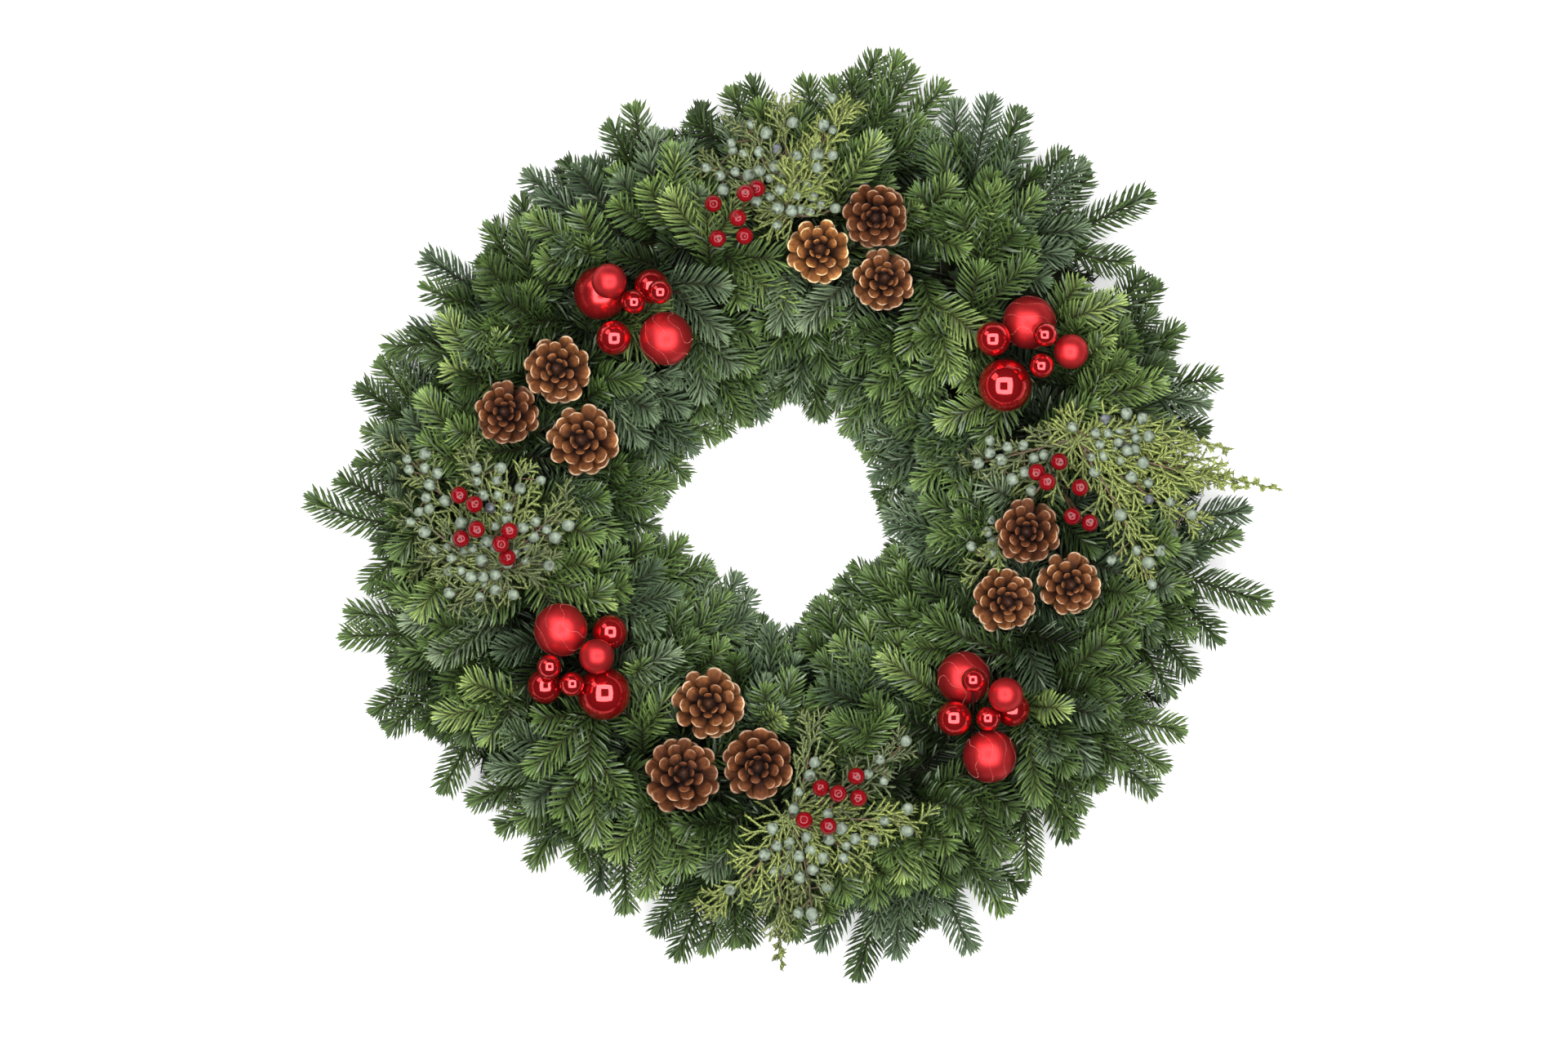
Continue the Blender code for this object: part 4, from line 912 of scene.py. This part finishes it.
def add_scale(shape, foot, out, axis, length, width, thick, opening, tone, tall):
    """One open scale: a woody spoon with a thick rounded rim.

    It takes the map's column for tone, up to the share tall of its height.
    """
    side = np.cross(axis, out)
    way = turned(axis, out, math.radians(opening) - SCALE_TURN_UP * SCALE_ROWS)
    steps = np.diff(SCALE_ROWS, prepend=0.0)[:, None]
    spots = foot + np.cumsum(way * steps, axis=0) * length
    across = SCALE_ACROSS * SCALE_BROAD[:, None] * width / 2
    above = SCALE_SIDE * SCALE_DEPTH[:, None] * thick / 2 + SCALE_ACROSS ** 2 * width * SCALE_CURL
    points = (spots[:, None] + side * across[:, :, None]
              + np.cross(way, side)[:, None] * above[:, :, None]).reshape(-1, 3)
    tip = spots[-1] + way[-1] * length * 0.012
    shape.add(np.vstack([points, tip]), SCALE_FACES, scale_places(tone) * (1.0, tall))


def cone_axis(name, seat_angle):
    """The lean of this cone, as its solid has it."""
    rng = random.Random(name)
    lean = math.radians(rng.uniform(2, 7))
    return unit(UP + radial(seat_angle) * math.tan(lean) * rng.choice((-1, 1)))


def make_cone(name, x, y, radius, seat_angle, tone, woods):
    rng = seeded(name)
    axis = cone_axis(name, seat_angle)
    belt = np.array((x, y, CONE_BELT))
    shape = Shape()
    right = unit(np.cross(axis, (0.0, 1.0, 0.0)))
    ahead = np.cross(axis, right)
    heights = np.linspace(-0.40, 0.56, len(CORE_RADII)) * CONE_HEIGHT
    core = radius * CORE_RADII
    # The core takes the darkest part of the map, painted shade deep inside the cone.
    tube(shape, belt + axis * heights[:, None], core, 0, 8, sides=10, tall=0.45)
    scales = CONE_SCALES - int(FEWER_SCALES * tone)
    for i in range(scales):
        share = i / (scales - 1)
        out = turned(right, ahead, i * GOLDEN_ANGLE + rng.normal(0, 0.10))
        height = (-0.37 + 0.80 * share) * CONE_HEIGHT
        swell = np.interp(share, CONE_SHARES, CONE_SWELL)
        inner = np.interp(height, heights, core) * 0.8
        reach = radius * swell * rng.uniform(0.93, 1.03)
        opening = 96 - 50 * share ** 0.5 + 10 * tone + rng.normal(0, 5)
        length = max(reach - inner, 4.0) * 1.08 / max(math.sin(math.radians(opening - 6)), 0.6)
        width = radius * (0.15 + 0.36 * swell) * rng.uniform(0.88, 1.10)
        add_scale(shape, belt + axis * height + out * inner, out, axis, length, width,
                  1.7 - 0.6 * share, opening, int(rng.integers(0, 6)), 1 - 0.10 * share ** 4)
    seat = polar(seat_angle, RING_RADIUS, SEAT_HEIGHT)
    foot = belt + axis * (heights[0] + 3)
    stem = np.array([foot, (foot + seat + UP * 9) / 2, seat + UP * 9, seat + UP * 1.4])
    tube(shape, stem, (2.2, 1.9, 1.6, 1.4), 1, 8, sides=8, tall=0.6)
    shape.piece(name, [woods[int(tone * 2.2)]], "pine_cone")


# Baubles

def wire_path(name, middle, radius):
    """The way of a bauble's wire, from its solid: the middles of the wire's rings of corners."""
    corners = np.array([v.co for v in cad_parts[name].data.vertices]) / MM - SHIFT
    left = list(corners[np.linalg.norm(corners - middle, axis=1) > radius + 0.25])
    rings = []
    while left:
        near = [p for p in left if np.linalg.norm(p - left[0]) < 3.4]
        left = [p for p in left if np.linalg.norm(p - left[0]) >= 3.4]
        rings.append(np.unique(np.round(near, 2), axis=0).mean(0))
    rings.sort(key=lambda p: np.linalg.norm(p - middle))
    return np.array(rings[:1] + sorted(rings[1:], key=lambda p: -p[2]))


def ball(shape, middle, radius, axis, rings=22, sides=36, slot=0, squash=1.0, dimple=0.0,
         part=(0.0, 1.0)):
    """A round ball with its poles on the axis. A dimple is pressed in at the first pole.

    The part is where the ball lies on the colour map: its left edge and its width.
    """
    right = unit(np.cross(axis, (0.3, 0.9, 0.2)))
    ahead = np.cross(axis, right)
    down = np.linspace(0, np.pi, rings + 1)[1:-1]
    press = 1 - dimple * np.exp(-(down / 0.30) ** 2)
    level = turned(right, ahead, np.linspace(0, 2 * np.pi, sides, endpoint=False))
    points = (level[None] * np.sin(down)[:, None, None]
              + axis * (np.cos(down) * press * squash)[:, None, None]) * radius + middle
    poles = [middle + axis * radius * (1 - dimple) * squash, middle - axis * radius * squash]
    points = np.vstack([points.reshape(-1, 3), poles])
    last = (rings - 2) * sides
    faces = np.concatenate([
        halved(squares(rings - 1, sides)[0])[:, ::-1], fan(0, sides, len(points) - 2),
        fan(last, sides, len(points) - 1)[:, ::-1]])
    local = (points - middle) @ np.stack([right, ahead, axis], 1)
    around = np.arctan2(local[:, 1], local[:, 0]) / (2 * np.pi) + 0.5
    tall = np.arccos(np.clip(local[:, 2] / radius, -1, 1)) / np.pi
    u = around[faces]
    over_seam = (np.ptp(u, axis=1) > 0.5)[:, None] & (u < 0.5)
    u = part[0] + part[1] * (u + over_seam) / (1 + 1.5 / sides)
    shape.add(points, faces, np.stack([u, tall[faces]], -1), slot)


GRAIN = np.array([(1, 0, 0), (-1, 0, 0), (0, 1, 0), (0, -1, 0), (0, 0, 1), (0, 0, -1)], float)
GRAIN_FACES = np.array([(0, 2, 4), (2, 1, 4), (1, 3, 4), (3, 0, 4), (2, 0, 5), (1, 2, 5),
                        (3, 1, 5), (0, 3, 5)])


def add_glitter(shape, middle, radius, rng, slot):
    """Fine wavy lines of glitter grains round a bauble."""
    axis = unit(np.array((rng.uniform(-0.5, 0.5), rng.uniform(-0.5, 0.5), 1.0)))
    tilt = unit(np.array((rng.uniform(-1, 1), rng.uniform(-1, 1), 0.35)))
    right = unit(np.cross(tilt, axis))
    ahead = np.cross(tilt, right)
    for line in (-48, -16, 16, 48):
        phase = rng.uniform(0, 6.28)
        for turn in np.arange(0, 2 * np.pi, 1.3 / radius):
            high = math.radians(line + 6 * math.sin(4 * turn + phase))
            out = turned(turned(right, ahead, turn), tilt, high)
            size = rng.uniform(0.15, 0.25)
            spot = middle + out * (radius + size * 0.1)
            place = np.array((0.95, rng.uniform(0.02, 0.98)))
            shape.add(GRAIN * size + spot, GRAIN_FACES, np.tile(place, (8, 3, 1)), slot)


def make_bauble(name, x, y, z, radius, finish, reds, trims):
    rng = seeded(name, 7)
    middle = np.array((x, y, z))
    path = wire_path(name, middle, radius)
    way = unit(path[0] - middle)
    shape = Shape()
    ball(shape, middle, radius, -way, part=(0.0, 0.74))
    collar = middle + way * (radius + np.array((-0.6, 0.3, 0.5, 2.2, 2.3))[:, None])
    tube(shape, collar, (2.6, 2.6, 2.0, 2.0, 1.2), 6, 8, sides=16, slot=1)
    ends = np.vstack([middle + way * radius, path[1:]])
    route = np.vstack([bend(a, (a + b) / 2, b, 5)[:-1] for a, b in zip(ends, ends[1:])]
                      + [ends[-1:]])
    tube(shape, route, np.full(len(route), 0.75), 14, 16, sides=8, slot=1)
    if finish == "glitter":
        add_glitter(shape, middle, radius, rng, 2)
    slot = "bauble_glossy" if finish == "glossy" else "bauble_matte"
    red = reds["matte" if finish == "glitter" else finish]
    shape.piece(name, [red, *trims], slot)


# Berry sprigs

def trunk_to(head, seat_angle, rise):
    """The way of a woody shoot from the ring up to its head."""
    seat = polar(seat_angle, RING_RADIUS, SEAT_HEIGHT)
    knee = seat + UP * 9
    return np.vstack([seat + UP * 1.5, knee,
                      bend(knee, (seat + head) / 2 + UP * rise, head, 6)[1:]])


FORK_HEIGHT = 40.65


def make_berries(name, seat_angle, berries, materials):
    rng = seeded(name)
    shape = Shape()
    places = np.array(berries, float)
    fork = (places.mean(0) + polar(seat_angle, RING_RADIUS)) / 2
    fork[2] = FORK_HEIGHT
    trunk = trunk_to(fork, seat_angle, 6)
    tube(shape, trunk, np.linspace(1.7, 2.1, len(trunk)), 14, 16, sides=8, slot=1)
    for index, place in enumerate(places):
        axis = unit(np.array((rng.uniform(-0.35, 0.35), rng.uniform(-0.35, 0.35), 1.0)))
        ball(shape, place, BERRY_RADIUS, axis, 18, 26, 0, squash=0.96, dimple=0.12,
             part=(index / 8, 0.12))
        crown = place + axis * (BERRY_RADIUS * 0.85 + np.array((-0.8, 0.1, 0.5))[:, None])
        tube(shape, crown, (0.9, 0.75, 0.2), 30, 32, sides=6, slot=2)
        foot = place - axis * BERRY_RADIUS * 0.9
        stalk = bend(foot, foot - axis * 12, fork, 9)
        tube(shape, stalk, np.linspace(0.7, 1.0, 9), 31, 32, sides=6, slot=1)
    shape.piece(name, materials, "berry")


# Juniper

# The juniper's colour map has its leaves in this many columns, and its bark where the fir's is
LEAVES = 44
JUNIPER_BARK = 56
# The berries' places on it: left edge and width
PALE_PART = (0.70, 0.13)
RIPE_PART = (0.94, 0.05)
PALE_SHARE = 0.965
LEAF_FACES = np.array([(0, 1, 3), (1, 2, 3), (2, 0, 3)])
LEAF_ACROSS = np.array((0.1, 0.9, 0.5, 0.5))
LEAF_ALONG = np.array((0.02, 0.02, 0.5, 0.98))
LEAF_SPACING = 1.55
SHOOT_RADIUS = 1.15


def scale_leaves(shape, path, rng, tint, size=3.6):
    """A juniper twiglet: small pointed leaves that lie forward round a thin shoot."""
    total = lengths_along(path)[-1]
    count = max(int(total / LEAF_SPACING), 3)
    spot, way, side = spots_on(path, np.linspace(0.3, total, count))
    out = turned(side, np.cross(way, side), np.arange(count) * 2.3 + rng.uniform(0, 6))
    pointing = turned(out, way, np.radians(rng.uniform(42, 62, count)))
    tip = spot + pointing * size * rng.uniform(0.8, 1.1, (count, 1))
    half = np.cross(way, out) * 1.35
    corners = [spot - half - way * 0.5, spot + half - way * 0.5, spot + way * 0.9 + out * 1.3, tip]
    tone = np.clip(tint + rng.normal(0, 0.14, count), 0, 0.999)
    add_leaves(shape, corners, LEAF_FACES, np.floor(tone * LEAVES), LEAF_ACROSS, LEAF_ALONG)
    radii = SHOOT_RADIUS * np.linspace(1.0, 0.6, len(path))
    tube(shape, path, radii, int(min(max(tint, 0), 0.99) * LEAVES), COLUMNS, sides=3)


def twiglet(shape, foot, way, hand, length, rng, tint):
    """A leafy side shoot, which forks four times. It keeps off the decorations."""
    out = rotated(way, hand * rng.uniform(16, 66))
    end = foot + (out * 0.8 + way * 0.2) * length + UP * rng.uniform(-6, 8)
    twig = bend(foot, foot + out * length * 0.5, end, 7)
    if not clear_of_decorations(twig, 1.5).all():
        return
    scale_leaves(shape, twig, rng, tint + rng.uniform(-0.12, 0.10))
    heading = unit(end - foot)
    for part, side in ((0.25, 1), (0.40, -1), (0.55, 1), (0.75, -1)):
        node = twig[int(part * 6)]
        reach = length * (0.66 - 0.45 * part) * rng.uniform(0.7, 1.15)
        tip = node + rotated(heading, side * rng.uniform(24, 48)) * reach
        tip = tip + UP * rng.uniform(-1.5, 3)
        fork = bend(node, (node + tip) / 2 + heading, tip, 4)
        if clear_of_decorations(fork, 1.5).all():
            scale_leaves(shape, fork, rng, tint + rng.uniform(-0.05, 0.16), size=3.0)


def add_berry(shape, foot, rng, taken):
    """A berry on a stalk, near this foot, where there is room for it."""
    for _ in range(12):
        place = foot + np.array((*np.clip(rng.normal(0, 8, 2), -15, 15), rng.uniform(1, 7)))
        radius = rng.uniform(3.4, 4.7)
        apart = all(np.linalg.norm(place - p) > radius + r for p, r in taken)
        if apart and clear_of_decorations(place[None], radius + 2.5)[0]:
            break
    else:
        return
    taken.append((place, radius))
    stalk = bend(foot, (foot + place) / 2 - UP, place, 4)
    tube(shape, stalk, np.full(4, 0.5), JUNIPER_BARK, COLUMNS, sides=4)
    axis = unit(place - foot + rng.normal(0, 2, 3))
    slot, part = (1, PALE_PART) if rng.uniform() < PALE_SHARE else (2, RIPE_PART)
    ball(shape, place, radius, axis, 9, 12, slot, squash=1.12, dimple=0.06, part=part)


def juniper_spray(shape, path, rng, tint, berries, taken, narrow):
    """A woody shoot with twiglets on both sides, and berries on stalks."""
    total = lengths_along(path)[-1]
    tube(shape, path, np.linspace(1.3, 0.3, len(path)), JUNIPER_BARK, COLUMNS, sides=6)
    scale_leaves(shape, path[int(len(path) * 0.6):], rng, tint, size=4.2)
    mark, hand = total * 0.05, 1
    while mark < total * 0.97:
        foot, way, _ = spots_on(path, mark)
        share = mark / total
        length = (32 - 16 * share) * rng.uniform(0.7, 1.25)
        if narrow:
            length *= 1 - 0.66 * step(0.52, 0.82, share)
        twiglet(shape, foot, way, hand, length, rng, tint)
        mark += rng.uniform(4.4, 6.8)
        hand = -hand
    for _ in range(berries):
        mark = total * rng.uniform(0.20, 0.45 if narrow else 0.88)
        add_berry(shape, spots_on(path, mark)[0], rng, taken)


# Strands that end further out than this thin out towards their end
FAR_OUT = 330


def make_juniper(name, seat_angle, head, strands, materials):
    rng = seeded(name)
    shape = Shape()
    head = np.array(head)
    trunk = trunk_to(head, seat_angle, 4)
    tube(shape, trunk, np.linspace(1.9, 2.3, len(trunk)), JUNIPER_BARK, COLUMNS, sides=8)
    taken = []
    for end, berries, tint in strands:
        end = np.array(end)
        side = rotated(unit(end - head), 90)
        control = (head + end) / 2 + side * rng.uniform(-12, 12) + UP * JUNIPER_RISE
        path = under_decorations(bend(head, control, end, 18), 3.0, DECORATIONS)
        beyond = np.linalg.norm(end[:2] - RING_CENTRE[:2]) > FAR_OUT
        juniper_spray(shape, path, rng, tint, berries, taken, beyond)
    for turn in range(0, 360, 60):
        way = radial(turn + rng.uniform(-20, 20))
        for hand in (-1, 1):
            twiglet(shape, head - way * 6 + UP * 2, way, hand, rng.uniform(26, 34), rng,
                    strands[0][2] * 0.8)
    shape.piece(name, materials, "juniper")


# The steel ring

RING_WIRE = (2.0, 1.85)
WIRE_HEIGHT = 1.8 + 2.0 * math.sin(math.radians(60)) - 0.25
AROUND_RING, AROUND_WIRE = 180, 14
STRAP_OUTSIDE = [(9.0, 0.0), (9.0, 11.0), (5.3, 18.4)]
STRAP_INSIDE = [(4.0, 17.8), (7.4, 10.6), (7.4, 1.8)]
STRAP_HALF_WIDTH = 5.0


def make_ring(material):
    """The wire ring, and a bent strap with its two prongs at each clamp."""
    bm = bmesh.new()

    def build(points, faces):
        corners = [bm.verts.new((point + SHIFT) * MM) for point in points]
        return [bm.faces.new([corners[c] for c in face]) for face in faces]

    broad, tall = RING_WIRE
    turns = np.arange(AROUND_RING)[:, None] * 360 / AROUND_RING
    t = np.arange(AROUND_WIRE) * 2 * np.pi / AROUND_WIRE
    wire = polar(turns, RING_RADIUS + broad * np.cos(t), WIRE_HEIGHT + tall * np.sin(t))
    build(wire.reshape(-1, 3), squares(AROUND_RING, AROUND_WIRE, (True, True))[0])
    half = STRAP_OUTSIDE + STRAP_INSIDE
    outline = half + [(-x, y) for x, y in reversed(half)]
    count = len(outline)
    walls = squares(2, count)[0].tolist() + [range(count, 2 * count), range(count - 1, -1, -1)]
    for angle in CLAMP_ANGLES:
        along = rotated(radial(angle), 90)
        strap = build([polar(angle, RING_RADIUS + reach, y) + along * x
                       for reach in (-STRAP_HALF_WIDTH, STRAP_HALF_WIDTH) for x, y in outline],
                      walls)
        edges = {edge for face in strap for edge in face.edges}
        bmesh.ops.bevel(bm, geom=list(edges), offset=0.35 * MM, segments=2, affect="EDGES",
                        clamp_overlap=True)
    bmesh.ops.recalc_face_normals(bm, faces=bm.faces[:])
    mesh = bpy.data.meshes.new("ring_frame_looks")
    bm.to_mesh(mesh)
    bm.free()
    place_piece("ring_frame", mesh, [material])


def main():
    fir = [fir_material(), shade_material()]
    for index, angle in enumerate(CLAMP_ANGLES):
        make_bunch(index, angle, fir)
    woods = [cone_material("cone_dark", (0.70, 0.62, 0.60)),
             cone_material("cone_brown", (1.0, 1.0, 1.0)),
             cone_material("cone_tan", (1.5, 1.6, 1.35))]
    for name, facts in CONES.items():
        make_cone(name, *facts, woods)
    reds = {"glossy": red_material("bauble_glossy_red", (0.58, 0.013, 0.017), 0.08, 0.82, 0.5),
            "satin": red_material("bauble_satin_red", (0.60, 0.022, 0.026), 0.26, 0.84, 0.2),
            "matte": red_material("bauble_matte_red", (0.56, 0.026, 0.030), 0.42, 0.86, 0.0)}
    trims = [plain_material("pick_wire", (0.05, 0.02, 0.02), (0.12, 0.04, 0.03), 0.4, 0.7),
             plain_material("glitter_grains", (0.70, 0.16, 0.14), (0.90, 0.42, 0.36), 0.5, 0.1)]
    for name, facts in BAUBLES.items():
        make_bauble(name, *facts, reds, trims)
    berry = [red_material("berry_skin", (0.17, 0.002, 0.005), 0.07, 0.0, 0.0, 0.26),
             plain_material("berry_stalk", (0.05, 0.025, 0.012), (0.13, 0.07, 0.035), 0.6),
             plain_material("berry_eye", (0.015, 0.008, 0.006), (0.04, 0.02, 0.015), 0.6)]
    for name, facts in BERRY_SPRIGS.items():
        make_berries(name, *facts, berry)
    juniper = [juniper_material(),
               bloom_material("juniper_berry_pale", (0.046, 0.066, 0.040), (0.165, 0.203, 0.152),
                              PALE_PART[1]),
               bloom_material("juniper_berry_ripe", (0.030, 0.030, 0.034), (0.095, 0.105, 0.115),
                              RIPE_PART[1])]
    for name, facts in JUNIPERS.items():
        make_juniper(name, *facts, juniper)
    make_ring(plain_material("green_enamel", (0.02, 0.07, 0.03), (0.04, 0.12, 0.05), 0.4, 0.3))


# The stage, in metres

FLOOR_SIZE = 12.0
FLOOR_DROP = 0.0005
FLOOR_LOOKS = {"Base Color": (0.55, 0.55, 0.55, 1), "Roughness": 0.9,
               "Emission Color": (1, 1, 1, 1), "Emission Strength": 0.53}
CAMERA_AIM = Vector((SHIFT[0] - 6.3, SHIFT[1] - 5.7, 30.0)) * MM
CAMERA_DISTANCE = 10.0
CAMERA_LENS = 312.5
SENSOR_WIDTH = 36.0
# A square soft box right above, open in the middle: its height, and each side's middle and size
BOX_HEIGHT, BOX_MIDDLE, BOX_BROAD, BOX_LONG = 1.3, 0.66, 0.56, 1.88
BOX_POWER = 24.6
# The sky is dim above, with a pale band at the horizon
SKY = [(0.10, 0.70), (0.16, 0.012), (0.45, 0.029), (0.9, 0.072)]


def add_light(name, place, size, power, target):
    light = bpy.data.lights.new(name, "AREA")
    light.shape = "RECTANGLE"
    light.size, light.size_y = size
    light.energy = power
    lamp = bpy.data.objects.new(name, light)
    lamp.location = place
    lamp.rotation_euler = (Vector(target) - Vector(place)).to_track_quat("-Z", "Y").to_euler()
    bpy.context.scene.collection.objects.link(lamp)


def add_stage():
    bpy.ops.mesh.primitive_plane_add(size=FLOOR_SIZE)
    floor = bpy.context.object
    floor.name = "floor"
    floor.data.materials.append(Finish("floor_white", FLOOR_LOOKS).material)
    floor.location.z = -FLOOR_DROP

    data = bpy.data.cameras.new("camera")
    data.sensor_width = SENSOR_WIDTH
    data.lens = CAMERA_LENS
    camera = bpy.data.objects.new("camera", data)
    camera.location = CAMERA_AIM + Vector((0, 0, CAMERA_DISTANCE))
    bpy.context.scene.collection.objects.link(camera)
    bpy.context.scene.camera = camera

    side, end = (BOX_BROAD, BOX_LONG), (BOX_LONG - 2 * BOX_BROAD, BOX_BROAD)
    for name, x, y, size in (("box_left", -BOX_MIDDLE, 0, side), ("box_right", BOX_MIDDLE, 0, side),
                             ("box_top", 0, BOX_MIDDLE, end), ("box_bottom", 0, -BOX_MIDDLE, end)):
        add_light(name, (x, y, BOX_HEIGHT), size, BOX_POWER * size[0] * size[1], (x, y, 0))
    add_light("fill", (-1.3, 1.3, 1.1), (0.9, 0.9), 6.0, (0, 0, 0.05))

    world = bpy.data.worlds.new("studio")
    bpy.context.scene.world = world
    world.use_nodes = True
    tree = world.node_tree
    place = add_node(tree, "TexCoord", {})["Generated"]
    height = add_node(tree, "SeparateXYZ", {0: place})["Z"]
    tree.links.new(ramp(tree, height, SKY), tree.nodes["Background"].inputs["Color"])
    bpy.context.scene.view_settings.view_transform = "Standard"


main()
add_stage()
